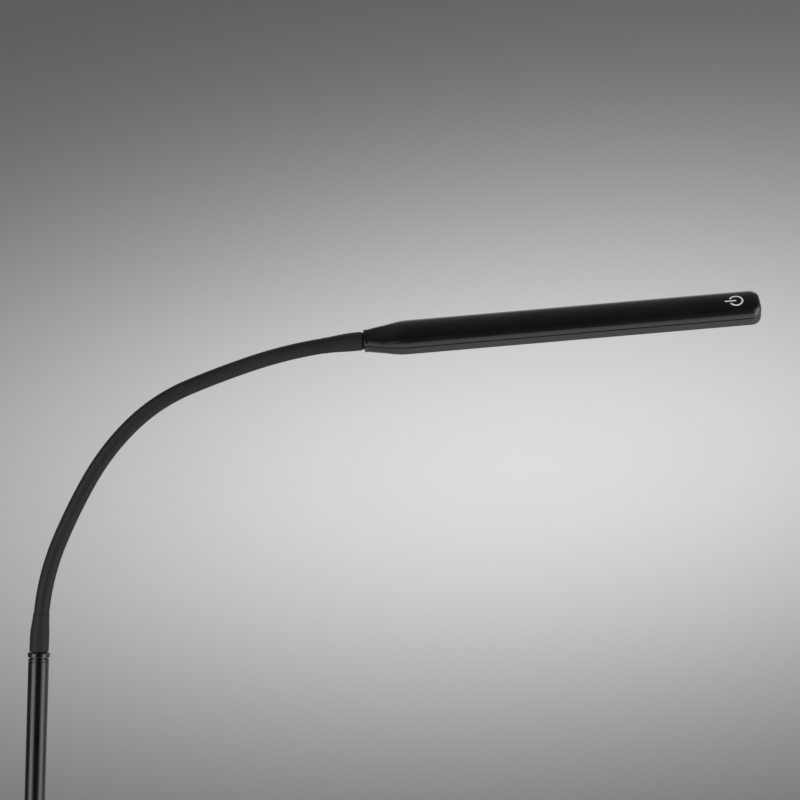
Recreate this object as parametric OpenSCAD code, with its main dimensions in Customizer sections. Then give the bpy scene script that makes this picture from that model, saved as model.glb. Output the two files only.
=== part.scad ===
// Floor lamp with a weighted round base, a three-piece screw-together pole, a rubber-sleeved
// gooseneck and a slim bar head that swivels on the end of the neck.
// Frame: millimetres, +Z up, origin at the middle of the base's underside, head towards +X.

/* [Base] */
// Diameter of the round base
base_d = 240; // [200:1:300]
// Height of the base, from the floor to its top
base_h = 22; // [20:0.5:30]
// Wall of the pressed steel cover
cover_wall = 1.5; // [1:0.1:2]
// Radius of the cover's top edge
cover_edge_r = 5; // [2:0.5:5]
// Gap between the cover's rim and the floor
cover_lift = 1; // [0.5:0.1:1.5]
// Gap between the cast iron weight and the cover's wall
weight_gap = 8.5; // [1:0.5:20]
// Thickness of the weight's disc
weight_t = 13; // [11:0.5:14]
// Diameter of the boss in the middle of the weight, which carries the cover
weight_boss_d = 54; // [46:1:70]
// Thickness of the bottom plate
plate_t = 1.5; // [1:0.1:2]
// Thickness of the foam pad that stands on the floor
pad_t = 2; // [1.5:0.1:3]
// Distance of the pad's edge from the bottom plate's edge
pad_margin = 5; // [2:0.5:10]
// Distance of the bottom plate's screws from the weight's edge
plate_screw_margin = 18; // [8:1:30]
// Number of screws that hold the bottom plate
plate_screw_count = 4; // [3:1:8]

/* [Foot] */
// Diameter of the turned flange at the foot of the pole
flange_d = 46; // [36:1:60]
// Height of the flange
flange_h = 9; // [6:0.5:16]
// Thickness of metal under the pole's end in the flange
flange_floor = 2; // [1:0.5:3]
// Diameter of the hollow threaded stud
stud_d = 10; // [8:0.5:11]
// Bore of the hollow stud, which the lead passes through
stud_bore_d = 6; // [4:0.5:6.5]
// Length of stud that stands in the pole
stud_grip = 24; // [15:1:40]
// Thickness of the nut under the weight
nut_t = 5; // [4:0.5:5.5]
// Width of the nut across its flats
nut_flats = 17; // [15:0.5:22]
// Diameter of the washer under the weight
washer_d = 26; // [22:0.5:30]
// Thickness of the washer
washer_t = 1.5; // [1:0.1:2]

/* [Power inlet] */
// Height of the inlet's axis above the floor
inlet_z = 10; // [9.5:0.1:10.5]
// Length of the inlet's socket, which stands out of the cover
inlet_socket_l = 12.5; // [12:0.5:16]
// Wall round the bore at the socket's mouth
inlet_socket_wall = 2.6; // [1.6:0.1:3]
// Distance from the barrel to the edge of the flange between socket and cover
inlet_flange_rim = 3; // [2:0.1:3]
// Thickness of that flange at its edge
inlet_flange_t = 1.6; // [1:0.1:3]
// Diameter of the inlet's threaded barrel
inlet_barrel_d = 8; // [7.5:0.1:8.5]
// Length of the barrel inside the cover
inlet_barrel_l = 15; // [12:0.5:18]
// Bore that the plug's sleeve enters
inlet_bore_d = 5.6; // [5.5:0.05:6]
// Depth of the bore from the mouth
inlet_bore_l = 10; // [9:0.5:11]
// Diameter of the inlet's centre pin
inlet_pin_d = 2; // [1.6:0.05:2.5]
// Distance from the mouth to the pin's tip
inlet_pin_recess = 0.8; // [0.5:0.1:2]
// Diameter of the pin's foot, which is set in the inlet's floor
inlet_foot_d = 2.8; // [2.6:0.1:3.2]
// Distance from the barrel to the flats of the inlet's nut
inlet_nut_rim = 1; // [0.8:0.1:1.2]
// Thickness of the inlet's nut
inlet_nut_t = 2.2; // [1.5:0.1:3]

/* [Pole] */
// Outer diameter of the pole
pole_d = 16; // [14:0.1:22]
// Wall of the pole's tube
pole_wall = 1.2; // [0.8:0.1:1.5]
// Length of each of the three pole sections
section_l = 354; // [200:1:450]
// Length of the threaded bushes pressed into the tubes
bush_l = 24; // [16:1:40]
// Length of the plain part of each joining stud
joint_stud_l = 22; // [14:1:40]
// Length of the thread on each joining stud
joint_thread_l = 18; // [10:1:23]

/* [Neck collar] */
// Diameter of the bead under the neck
bead_d = 16.6; // [15:0.1:24]
// Height of the bead
bead_h = 4.6; // [3:0.1:8]
// Radius of the bead's rounded edges
bead_edge_r = 1; // [0.3:0.1:1.5]
// Diameter of the groove under the bead
groove_d = 13.4; // [12:0.1:20]
// Height of the groove
groove_h = 1.4; // [0.6:0.1:3]
// Height of the cone from the groove out to the pole
cone_h = 2.6; // [1:0.1:5]
// Length of the collar's spigot inside the pole
spigot_l = 24; // [15:1:40]
// Depth at which the neck's core is set in the collar
core_seat_l = 15; // [8:1:20]

/* [Neck] */
// Outer diameter of the neck's rubber sleeve
sleeve_d = 11.5; // [10.5:0.1:14]
// Wall of the rubber sleeve
sleeve_wall = 1.05; // [0.8:0.05:1.5]
// Radial gap between the lead and the bore of the wound steel core
core_bore_gap = 0.6; // [0.5:0.05:0.9]
// Length of the stretch between the collar and the first knuckle
root_l = 34; // [33:0.5:50]
// Length of each stretch between two knuckles
link_l = 53; // [30:0.5:80]
// Length of the stretch between the last knuckle and the head
tip_l = 34; // [33:0.5:50]
// Turn of each stretch towards +X, from the collar to the head, in degrees
neck_turns = [5, 16, 7, 16, 21.5, 4.5, 9, 4.5]; // [1:0.5:30]
// Half angle of the mouth in each knuckle's ball
knuckle_flare = 34; // [32:1:38]
// Distance from a knuckle's centre to the ends of the sleeves beside it
sleeve_relief = 2; // [1.9:0.1:3]
// Diameter of the two-core lead
lead_d = 3.2; // [2.5:0.1:3.4]
// Distance from a knuckle's centre to the ends of the lead beside it
lead_relief = 0.7; // [0.6:0.1:1.5]

/* [Boots] */
// Height of the lower boot's wide end above the sleeve's surface
lower_boot_rise = 1.65; // [1.2:0.05:2.2]
// Height of the lower boot's narrow end above the sleeve's surface
lower_boot_end_rise = 0.55; // [0.4:0.05:1.2]
// Length of bare sleeve between the lower boot and the first knuckle
lower_boot_margin = 2.5; // [2:0.5:12]
// Length of the lower boot's straight wide part
lower_boot_land = 12; // [4:0.5:15]
// Height of the upper boot's wide end above the journal's shank
upper_boot_rise = 1.3; // [1:0.05:2]
// Height of the upper boot's narrow end above the sleeve's surface
upper_boot_end_rise = 0.3; // [0.25:0.05:0.8]
// Length of the upper boot's straight wide part
upper_boot_land = 6; // [4:0.5:15]
// Gap between the upper boot and the head
head_gap = 1.4; // [1.2:0.1:2]

/* [Swivel] */
// Diameter of the journal that the head turns on
journal_d = 7.8; // [7.4:0.1:8.2]
// Radial gap between the lead and the journal's bore
journal_bore_gap = 0.4; // [0.2:0.05:0.5]
// Length of the socket block that the journal turns in
socket_l = 12; // [8:0.5:13]
// Length of the journal's shank that is set in the neck
shank_l = 18; // [12:1:22]
// Wall of the shank round the core
shank_wall = 1.2; // [1:0.05:1.3]
// Height of the step from the journal down to the thread at its end
end_thread_step = 0.5; // [0.3:0.1:0.7]
// Height of the slotted retaining nut above the journal
end_nut_rise = 0.5; // [0.3:0.1:0.6]
// Thickness of the slotted retaining nut
end_nut_t = 2.6; // [2:0.1:3]

/* [Head] */
// Length of the head
head_l = 305; // [240:1:400]
// Width of the head's bar
head_w = 27; // [25:0.5:32]
// Height of the bar's crown above the swivel's axis
head_top = 8.9; // [8.9:0.1:10]
// Depth of the bar's underside below the swivel's axis
head_bottom = 5.2; // [5.2:0.1:6.5]
// Height of the seam above the swivel's axis
seam_z = 0.8; // [0.6:0.1:1]
// Radius of the top's crown across the bar
crown_r = 45; // [40:1:90]
// Radius of the bar's upper long edges
top_edge_r = 5; // [4:0.5:6]
// Radius of the bar's lower long edges
bottom_edge_r = 0.8; // [0.4:0.1:1]
// Radius of the tip's corners in plan
tip_corner_r = 8; // [5:0.5:11]
// Radius of the tip's upper edge seen from the side
tip_edge_r = 5; // [3:0.5:6]
// Width of the oval collar at the swivel
collar_w = 21; // [19:0.5:24]
// Height of the oval collar at the swivel
collar_h = 14.2; // [14:0.1:16]
// Length of the oval collar
collar_l = 4; // [2:0.5:6]
// Distance from the swivel to where the bar has its full width
flare_l = 30; // [26:1:40]
// Turn of the head on its swivel, towards the front, in degrees
head_roll = 45; // [-90:1:90]
// Wall of the top shell
shell_wall = 1.4; // [1.2:0.1:1.6]
// Wall of the lower frame beside the diffuser
frame_wall = 1.6; // [1.2:0.1:2]
// Width of the step that the diffuser lies against
diffuser_step = 1; // [0.6:0.1:1.5]
// Thickness of the diffuser
diffuser_t = 1.6; // [1:0.1:2]
// Depth at which the diffuser lies inside the frame's edge
diffuser_recess = 0.2; // [0:0.1:0.5]
// Width left between the slot and the screw holes in the frame's two ledges
ledge_margin = 0.4; // [0.4:0.1:1.2]
// Thickness of the frame's ledges
ledge_t = 1.4; // [1:0.1:1.4]

/* [Light and controls] */
// Thickness of the aluminium heat plate
heat_plate_t = 1.2; // [0.8:0.1:1.5]
// Gap between the strip that carries the chips and the ledges
led_board_gap = 1.6; // [0.3:0.1:2.4]
// Thickness of that strip
led_board_t = 1; // [0.8:0.1:1.2]
// Number of light chips
chip_count = 32; // [12:1:48]
// Length, width and height of one chip
chip_size = [3.5, 2.8, 0.7]; // [0.4:0.1:5]
// Length of the control board
control_l = 58; // [40:1:80]
// Thickness of the control board
control_t = 1; // [0.8:0.1:1.2]
// Distance from the tip to the middle of the power symbol
symbol_inset = 18.3; // [14:0.1:40]
// Outer diameter of the power symbol's ring
symbol_d = 12.1; // [8:0.1:14]
// Width of the power symbol's lines
symbol_line = 1.45; // [0.8:0.05:2]
// Depth of the power symbol in the shell
symbol_depth = 0.6; // [0.3:0.1:0.8]
// Half angle of the gap in the ring
symbol_gap = 33; // [20:1:45]

/* [Screws] */
// Diameter of the head's self-tapping screws
tap_screw_d = 2; // [1.6:0.1:2.2]
// Diameter of those screws' heads
tap_screw_head_d = 3.2; // [2.8:0.1:3.3]
// Height of those screws' heads
tap_screw_head_h = 1.1; // [0.8:0.1:1.2]
// Gap between those screws' heads and the frame's wall
tap_screw_wall_gap = 0.1; // [0.1:0.05:0.3]
// Diameter of the bosses in the top shell
boss_d = 4.2; // [3.6:0.1:4.4]
// Diameter of the bottom plate's screws
plate_screw_d = 4; // [3:0.5:5]
// Length of the bottom plate's screws
plate_screw_l = 9; // [7:0.5:10]

/* [Clearances] */
// Radial gap between a thread and its hole
thread_gap = 0.05; // [0.02:0.01:0.1]
// Radial gap of a turning fit
running_gap = 0.05; // [0.02:0.01:0.1]
// Gap round a piece that drops into place
loose_gap = 0.3; // [0.2:0.05:0.5]
// Gap between two pieces that move past each other
moving_gap = 0.3; // [0.3:0.05:0.5]
// Gap round a screw that passes through a plate
screw_gap = 0.2; // [0.1:0.05:0.4]

/* [Hidden] */
$fn = 64;

// Finishes
black_paint = [0.05, 0.05, 0.055];
black_plastic = [0.07, 0.07, 0.075];
rubber_grey = [0.17, 0.17, 0.17];
bare_steel = [0.62, 0.62, 0.64];
cast_iron = [0.3, 0.3, 0.31];
brass = [0.78, 0.62, 0.3];
aluminium = [0.78, 0.79, 0.8];
opal = [0.95, 0.95, 0.93];
white_mask = [0.93, 0.93, 0.9];
chip_yellow = [0.95, 0.85, 0.4];
board_green = [0.1, 0.35, 0.2];
foam_black = [0.12, 0.12, 0.12];
lead_white = [0.85, 0.85, 0.85];

// Base, from the floor up
base_r = base_d / 2;
plate_z = pad_t;
weight_z = plate_z + plate_t;
plate_r = base_r - cover_wall - 1;
pad_r = plate_r - pad_margin;
weight_r = base_r - cover_wall - weight_gap;
boss_top_z = base_h - cover_wall;
stud_r = stud_d / 2;
stud_hole_r = stud_r + screw_gap;
lead_r = lead_d / 2;
nut_recess_r = washer_d / 2 + 4;
nut_recess_h = 11;
recess_top_z = weight_z + nut_recess_h;
washer_z = recess_top_z - washer_t;
nut_z = washer_z - nut_t;
stud_bottom_z = nut_z - 0.5;
base_lead_z = weight_z + lead_r + 0.3;
groove_half_w = lead_r + 0.9;
bend_swell = 0.12;

// Inlet, which looks along -X
inlet_face_x = -base_r;
inlet_flange_d = inlet_barrel_d + 2 * inlet_flange_rim;
inlet_mouth_r = inlet_bore_d / 2 + inlet_socket_wall;
inlet_mouth_edge_r = 0.8;
inlet_nut_flats = inlet_barrel_d + 2 * inlet_nut_rim;
inlet_back_x = inlet_face_x + inlet_barrel_l;
pocket_w = 18;
pin_foot_l = 2;
pin_foot_z = inlet_socket_l - inlet_bore_l - pin_foot_l;
tag_l = 3;
lead_start_x = inlet_back_x + tag_l + 0.2;
lead_drop_x = lead_start_x + 12;
pocket_end_x = lead_drop_x + 4.8;

// Pole, in three sections
section_count = 3;
pole_r = pole_d / 2;
pole_in_r = pole_r - pole_wall;
pole_z = base_h + flange_floor;
pole_top_z = pole_z + section_count * section_l;
stud_top_z = pole_z + stud_grip;
function section_z(i) = pole_z + i * section_l;

// Neck, as a chain of arcs in the plane y = 0
neck_z = pole_top_z + cone_h + groove_h + bead_h;
link_count = len(neck_turns) - 2;
tip_i = link_count + 1;
head_i = link_count + 2;
sleeve_r = sleeve_d / 2;
core_r = sleeve_r - sleeve_wall;
core_bore_r = lead_r + core_bore_gap;
ball_r = core_r - 0.2;
mouth_start = 0.1;
cup_r = core_r + moving_gap;
function stretch_l(i) = i == 0 ? root_l : i == tip_i ? tip_l : link_l;
function bend_r(i) = stretch_l(i) * 180 / (PI * neck_turns[i]);
function neck_dir(i) = i == 0 ? 0 : neck_dir(i - 1) + neck_turns[i - 1];
function chord_dir(i) = neck_dir(i) + neck_turns[i] / 2;
function chord_l(i) = 2 * bend_r(i) * sin(neck_turns[i] / 2);
function neck_pos(i) = i == 0 ? [0, 0, neck_z]
    : neck_pos(i - 1) + chord_l(i - 1) * [sin(chord_dir(i - 1)), 0, cos(chord_dir(i - 1))];

// Swivel, along the head's own x axis from the collar's face
journal_r = journal_d / 2;
socket_x = shell_wall;
socket_end_x = socket_x + socket_l;
end_nut_x = socket_end_x + moving_gap;
journal_end_x = socket_end_x + moving_gap / 2;
thread_end_x = end_nut_x + end_nut_t + 0.4;
thrust_gap = 0.1;
thrust_t = 0.85;
shoulder_x = -thrust_gap - thrust_t;
core_tip_l = tip_l - 4;
journal_bore_r = lead_r + journal_bore_gap;
shank_d = 2 * (core_r + shank_wall);
thrust_d = shank_d + 0.2;
end_thread_d = journal_d - 2 * end_thread_step;
end_nut_d = journal_d + 2 * end_nut_rise;

// Boots
lower_boot_d = sleeve_d + 2 * lower_boot_rise;
lower_boot_end_d = sleeve_d + 2 * lower_boot_end_rise;
lower_boot_l = root_l - sleeve_relief - lower_boot_margin;
upper_boot_d = shank_d + 2 * upper_boot_rise;
upper_boot_end_d = sleeve_d + 2 * upper_boot_end_rise;

// Head section
bar_half = head_w / 2;
edge_y = bar_half - top_edge_r;
crown_z = head_top - crown_r;
crown_turn = asin(edge_y / (crown_r - top_edge_r));
edge_z = crown_z + (crown_r - top_edge_r) * cos(crown_turn);
arc_steps = 8;
crown_steps = 12;

// Inside the head
tap_screw_y = bar_half - frame_wall - diffuser_step - tap_screw_wall_gap - tap_screw_head_d / 2;
ledge_slot_half = tap_screw_y - tap_screw_d / 2 - screw_gap - ledge_margin;
led_board_w = 2 * (ledge_slot_half - led_board_gap);
plate_bottom_z = seam_z;
plate_top_z = plate_bottom_z + heat_plate_t;
ledge_z = seam_z - ledge_t;
diffuser_z = -head_bottom + diffuser_recess;
diffuser_top_z = diffuser_z + diffuser_t;
bar_start_x = flare_l + 3;
heat_plate_x = flare_l + 1;
led_start_x = flare_l + 8;
slot_end_x = head_l - frame_wall - 7;
led_end_x = slot_end_x - loose_gap;
chip_margin = 5;
chip_pitch = (led_end_x - led_start_x - 2 * chip_margin) / (chip_count - 1);
symbol_x = head_l - symbol_inset;
control_end_x = head_l - 8;
control_x = control_end_x - control_l;
control_z = plate_top_z + 0.3;
control_top_z = control_z + control_t;
control_w = 2 * (tap_screw_y - boss_d / 2 - loose_gap);
tap_rows = [flare_l + 15, (flare_l + head_l) / 2, head_l - 14];
boss_top = head_top - shell_wall - 0.7;
wire_r = 0.8;
wire_y = 1.2;
wire_z = plate_top_z + wire_r + 0.1;
rib_t = 1.4;
rib_y = end_nut_d / 2 + 2 * moving_gap;

// Shared shapes

function arc(centre, r, from, to, steps) =
    [for (k = [0:steps]) let (t = from + (to - from) * k / steps) centre + r * [cos(t), sin(t)]];

// Puts a shape at the start of stretch i of the neck, with +Z along the neck
module at_stretch(i) {
    translate(neck_pos(i)) rotate([0, neck_dir(i), 0]) children();
}

// Puts a shape on the straight line between the two ends of stretch i
module on_chord(i) {
    translate(neck_pos(i)) rotate([0, chord_dir(i), 0]) children();
}

// A round rod, or a tube with a bore, along stretch i from one distance to another
module swept(i, from, to, r, bore = 0) {
    turn_per_mm = neck_turns[i] / stretch_l(i);
    at_stretch(i)
        translate([bend_r(i), 0, 0]) rotate([90, 0, 180]) rotate([0, 0, from * turn_per_mm])
            rotate_extrude(angle = (to - from) * turn_per_mm) translate([bend_r(i), 0]) {
                if (bore > 0) {
                    difference() {
                        circle(r);
                        circle(bore);
                    }
                } else {
                    circle(r);
                }
            }
}

// The ball at the end of stretch i
module knuckle_ball(i) {
    at_stretch(i + 1) sphere(ball_r);
}

// The bore's mouth in that ball, which lets the next lead swing
module knuckle_mouth(i) {
    narrow_r = core_bore_r / 2;
    flare = tan(knuckle_flare);
    at_stretch(i + 1) translate([0, 0, mouth_start - (core_bore_r - narrow_r) / flare])
        cylinder(h = sleeve_d, r1 = narrow_r, r2 = narrow_r + sleeve_d * flare);
}

// The hollow that the ball before stretch i turns in
module knuckle_cup(i) {
    at_stretch(i) sphere(cup_r);
}

module rod(p, q, r) {
    d = q - p;
    len_d = norm(d);
    translate(p) rotate([0, acos(d[2] / len_d), atan2(d[1], d[0])]) cylinder(h = len_d, r = r);
}

// A wire of straight runs with a slightly fuller ball at each bend
module wire(points, r) {
    for (k = [0:len(points) - 2]) rod(points[k], points[k + 1], r);
    for (k = [1:len(points) - 2]) translate(points[k]) sphere(r + bend_swell);
}

module disc(d, t, z) {
    translate([0, 0, z]) cylinder(h = t, d = d);
}

module hex_nut(flats, t, hole_r) {
    difference() {
        cylinder(h = t, r = flats / sqrt(3), $fn = 6);
        translate([0, 0, -1]) cylinder(h = t + 2, r = hole_r);
    }
}

// Puts a shape in the inlet's frame: +Z runs out of the mouth, from the cover's side wall
module at_inlet() {
    translate([inlet_face_x, 0, inlet_z]) rotate([0, -90, 0]) children();
}

// Puts a shape in the head's frame: +X to the tip, +Z out of the top, origin at the collar's face
module at_head() {
    translate(neck_pos(head_i)) rotate([0, neck_dir(head_i) - 90, 0])
        rotate([head_roll, 0, 0]) children();
}

// The same frame without the roll, with +Z along the swivel's axis, for what stays on the neck
module at_swivel() {
    at_stretch(head_i) children();
}

// Base

module base_pad() {
    color(foam_black) disc(2 * pad_r, pad_t, 0);
}

module plate_screw_places() {
    for (k = [0:plate_screw_count - 1])
        rotate([0, 0, (k + 0.5) * 360 / plate_screw_count])
            translate([weight_r - plate_screw_margin, 0, 0]) children();
}

module base_plate() {
    color(bare_steel) difference() {
        disc(2 * plate_r, plate_t, plate_z);
        plate_screw_places() disc(plate_screw_d + 2 * screw_gap, plate_t + 2, plate_z - 1);
        plate_screw_places() translate([0, 0, plate_z - 0.01])
            cylinder(h = plate_t, r1 = plate_screw_d, r2 = plate_screw_d - plate_t);
    }
}

module base_weight() {
    color(cast_iron) difference() {
        union() {
            disc(2 * weight_r, weight_t, weight_z);
            disc(weight_boss_d, boss_top_z - weight_z, weight_z);
        }
        disc(2 * nut_recess_r, nut_recess_h + 1, weight_z - 1);
        disc(2 * stud_hole_r, base_h, weight_z);
        translate([-weight_r - 1, -pocket_w / 2, weight_z - 1])
            cube([weight_r + 1 + pocket_end_x, pocket_w, weight_t + 2]);
        translate([-weight_r, -groove_half_w, weight_z - 1])
            cube([weight_r, 2 * groove_half_w, 2 * lead_r + 2]);
        plate_screw_places() disc(plate_screw_d + 2 * thread_gap, plate_screw_l, weight_z - 0.01);
    }
}

module cover_profile(inset, low_z) {
    r = base_r - inset;
    h = base_h - inset;
    e = max(cover_edge_r - inset, 0.5);
    polygon(concat([[0, low_z], [r, low_z]], arc([r - e, h - e], e, 0, 90, arc_steps), [[0, h]]));
}

module base_cover() {
    color(black_paint) difference() {
        rotate_extrude($fn = 128) difference() {
            cover_profile(0, cover_lift);
            cover_profile(cover_wall, cover_lift - 1);
        }
        translate([0, 0, boss_top_z - 1]) cylinder(h = cover_wall + 2, r = stud_hole_r);
        at_inlet() translate([0, 0, -cover_wall - 2])
            cylinder(h = cover_wall + 4, d = inlet_barrel_d + 2 * screw_gap);
        translate([inlet_face_x - 1, -inlet_flange_d / 2, inlet_z - inlet_flange_d / 2])
            cube([1 + base_r * (1 - cos(asin(inlet_flange_d / base_d))), inlet_flange_d, inlet_flange_d]);
    }
}

module plate_screws() {
    head_h = plate_t - 0.2;
    color(bare_steel) plate_screw_places() translate([0, 0, plate_z + 0.1]) {
        cylinder(h = head_h, r1 = plate_screw_d - screw_gap, r2 = plate_screw_d / 2);
        cylinder(h = plate_screw_l, d = plate_screw_d);
    }
}

// Foot of the pole

module foot_flange() {
    top_r = pole_r + 2.5;
    fillet = flange_h - 3;
    color(black_paint) difference() {
        rotate_extrude() polygon(concat(
            [[0, base_h], [flange_d / 2, base_h], [flange_d / 2, base_h + 1.5]],
            arc([top_r + fillet, base_h + 2 + fillet], fillet, 270, 180, arc_steps),
            [[top_r, base_h + flange_h], [0, base_h + flange_h]]));
        disc(2 * stud_hole_r, flange_h + 2, base_h - 1);
        disc(pole_d + 2 * running_gap, flange_h, pole_z);
    }
}

module foot_stud() {
    color(bare_steel) difference() {
        disc(stud_d, stud_top_z - stud_bottom_z, stud_bottom_z);
        disc(stud_bore_d, stud_top_z - stud_bottom_z + 2, stud_bottom_z - 1);
    }
}

module stud_washer() {
    color(bare_steel) difference() {
        disc(washer_d, washer_t, washer_z);
        disc(2 * stud_hole_r, washer_t + 2, washer_z - 1);
    }
}

module stud_nut() {
    color(bare_steel) translate([0, 0, nut_z]) hex_nut(nut_flats, nut_t, stud_r + thread_gap);
}

// Power inlet in the back of the base

module power_inlet() {
    color(black_plastic) at_inlet() difference() {
        union() {
            rotate_extrude() polygon(concat(
                [[0, 0], [inlet_flange_d / 2, 0], [inlet_flange_d / 2, inlet_flange_t]],
                arc([inlet_mouth_r - inlet_mouth_edge_r, inlet_socket_l - inlet_mouth_edge_r],
                    inlet_mouth_edge_r, 0, 90, arc_steps),
                [[0, inlet_socket_l]]));
            translate([0, 0, -inlet_barrel_l]) cylinder(h = inlet_barrel_l + 1, d = inlet_barrel_d);
            for (side = [-1, 1])
                translate([-0.4, side * 1.8 - 0.7, -inlet_barrel_l - tag_l]) cube([0.8, 1.4, tag_l + 1]);
        }
        translate([0, 0, inlet_socket_l - inlet_bore_l]) cylinder(h = inlet_bore_l + 1, d = inlet_bore_d);
        translate([0, 0, pin_foot_z]) cylinder(h = pin_foot_l + 1, d = inlet_foot_d);
    }
}

module inlet_nut() {
    color(bare_steel) at_inlet() translate([0, 0, -cover_wall - 0.3 - inlet_nut_t])
        hex_nut(inlet_nut_flats, inlet_nut_t, inlet_barrel_d / 2 + thread_gap);
}

module inlet_pin() {
    exposed_l = inlet_bore_l - inlet_pin_recess;
    color(bare_steel) at_inlet() translate([0, 0, pin_foot_z]) union() {
        cylinder(h = pin_foot_l, d = inlet_foot_d);
        translate([0, 0, pin_foot_l / 2]) cylinder(h = pin_foot_l / 2 + exposed_l, d = inlet_pin_d);
    }
}

// Pole

module foot_bush() {
    color(bare_steel) difference() {
        disc(2 * pole_in_r, bush_l, pole_z);
        disc(stud_d + 2 * thread_gap, bush_l + 2, pole_z - 1);
    }
}

module pole_section(i) {
    color(black_paint) difference() {
        disc(pole_d, section_l, section_z(i));
        disc(2 * pole_in_r, section_l + 2, section_z(i) - 1);
    }
}

module pole_lower() { pole_section(0); }
module pole_middle() { pole_section(1); }
module pole_upper() { pole_section(2); }

// A threaded bush in the top of each section but the last
module joint_bushes() {
    color(bare_steel) for (i = [1:section_count - 1]) difference() {
        disc(2 * pole_in_r, bush_l, section_z(i) - bush_l);
        disc(stud_d + 2 * thread_gap, bush_l + 2, section_z(i) - bush_l - 1);
    }
}

// A hollow stud in the foot of each section but the first, screwed into the bush below
module joint_studs() {
    color(bare_steel) for (i = [1:section_count - 1]) difference() {
        union() {
            disc(2 * pole_in_r, joint_stud_l, section_z(i));
            disc(stud_d, joint_thread_l + 1, section_z(i) - joint_thread_l);
        }
        disc(stud_bore_d, joint_stud_l + joint_thread_l + 2, section_z(i) - joint_thread_l - 1);
    }
}

// Two-core lead, from the inlet's tags through the weight and up the pole to the first knuckle
module power_lead() {
    color(lead_white) {
        wire([[lead_start_x, 0, inlet_z], [lead_start_x + 3, 0, inlet_z],
              [lead_drop_x, 0, base_lead_z], [-1.6, 0, base_lead_z],
              [0, 0, base_lead_z + 2.4], neck_pos(0)], lead_r);
        swept(0, 0, root_l - lead_relief, lead_r);
        translate(neck_pos(0)) sphere(lead_r + bend_swell);
    }
}

// Neck

module neck_collar() {
    groove_z = neck_z - bead_h - groove_h;
    bead_r = bead_d / 2;
    e = bead_edge_r;
    color(black_paint) difference() {
        rotate_extrude() polygon(concat(
            [[0, pole_top_z - spigot_l], [pole_in_r, pole_top_z - spigot_l], [pole_in_r, pole_top_z],
             [pole_r, pole_top_z], [groove_d / 2, groove_z], [groove_d / 2, neck_z - bead_h]],
            arc([bead_r - e, neck_z - bead_h + e], e, -90, 0, arc_steps),
            arc([bead_r - e, neck_z - e], e, 0, 90, arc_steps),
            [[0, neck_z]]));
        disc(stud_bore_d, spigot_l + neck_z, pole_top_z - spigot_l - 1);
        disc(2 * (core_r + running_gap), core_seat_l + 1, neck_z - core_seat_l);
    }
}

// Half outline of a boot: a straight land, then a gentle taper to the narrow end
function boot_profile(wide_r, narrow_r, land, length) = concat(
    [[0, 0], [wide_r, 0], [wide_r, land]],
    [for (k = [1:arc_steps]) let (t = k / arc_steps)
        [wide_r - (wide_r - narrow_r) * (1 - cos(180 * t)) / 2, land + (length - 1 - land) * t]],
    [[narrow_r - 0.2, length], [0, length]]);

module lower_boot() {
    color(rubber_grey) difference() {
        union() {
            intersection() {
                on_chord(0) translate([0, 0, -1]) rotate_extrude() polygon(boot_profile(
                    lower_boot_d / 2, lower_boot_end_d / 2, lower_boot_land + 1, lower_boot_l + 1));
                disc(4 * lower_boot_d, 2 * root_l, neck_z);
            }
            swept(0, 1, root_l - sleeve_relief, sleeve_r);
        }
        swept(0, -2, root_l, core_r);
    }
}

module core_root() {
    color(bare_steel) difference() {
        union() {
            disc(2 * (core_r - thread_gap), core_seat_l + 0.3, neck_z - core_seat_l);
            swept(0, 0, root_l, core_r);
            difference() {
                knuckle_ball(0);
                knuckle_mouth(0);
            }
        }
        disc(2 * (core_bore_r + thread_gap), core_seat_l + 1.3, neck_z - core_seat_l - 1);
        swept(0, -0.5, root_l + 1, core_bore_r);
    }
}

module core(i) {
    color(bare_steel) difference() {
        union() {
            swept(i, 0, link_l, core_r);
            knuckle_ball(i);
        }
        swept(i, -1, link_l + 1, core_bore_r);
        knuckle_mouth(i);
        knuckle_cup(i);
    }
}

module sleeve(i) {
    color(rubber_grey) swept(i, sleeve_relief, link_l - sleeve_relief, sleeve_r, core_r);
}

module lead(i) {
    color(lead_white) swept(i, lead_relief, link_l - lead_relief, lead_r);
}

module core_tip() {
    color(bare_steel) difference() {
        swept(tip_i, 0, core_tip_l, core_r, core_bore_r);
        knuckle_cup(tip_i);
    }
}

module upper_boot() {
    boot_l = tip_l - sleeve_relief - head_gap;
    color(rubber_grey) difference() {
        on_chord(tip_i) translate([0, 0, tip_l - head_gap]) mirror([0, 0, 1]) rotate_extrude()
            polygon(boot_profile(upper_boot_d / 2, upper_boot_end_d / 2, upper_boot_land, boot_l));
        swept(tip_i, 0, core_tip_l, core_r);
        at_swivel() translate([0, 0, -shank_l]) cylinder(h = shank_l + 5, d = shank_d);
    }
}

// Swivel

module swivel_journal() {
    color(bare_steel) difference() {
        at_swivel() union() {
            translate([0, 0, -shank_l]) cylinder(h = shank_l + shoulder_x, d = shank_d);
            translate([0, 0, -2]) cylinder(h = journal_end_x + 2, d = journal_d);
            translate([0, 0, journal_end_x - 1])
                cylinder(h = thread_end_x - journal_end_x + 1, d = end_thread_d);
        }
        at_swivel() translate([0, 0, -shank_l - 1])
            cylinder(h = shank_l + thread_end_x + 2, r = journal_bore_r);
        swept(tip_i, 0, core_tip_l, core_r + running_gap);
    }
}

module thrust_washer() {
    color(black_plastic) at_swivel() translate([0, 0, shoulder_x]) difference() {
        cylinder(h = thrust_t, d = thrust_d);
        translate([0, 0, -1]) cylinder(h = thrust_t + 2, r = journal_r + running_gap);
    }
}

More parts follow.
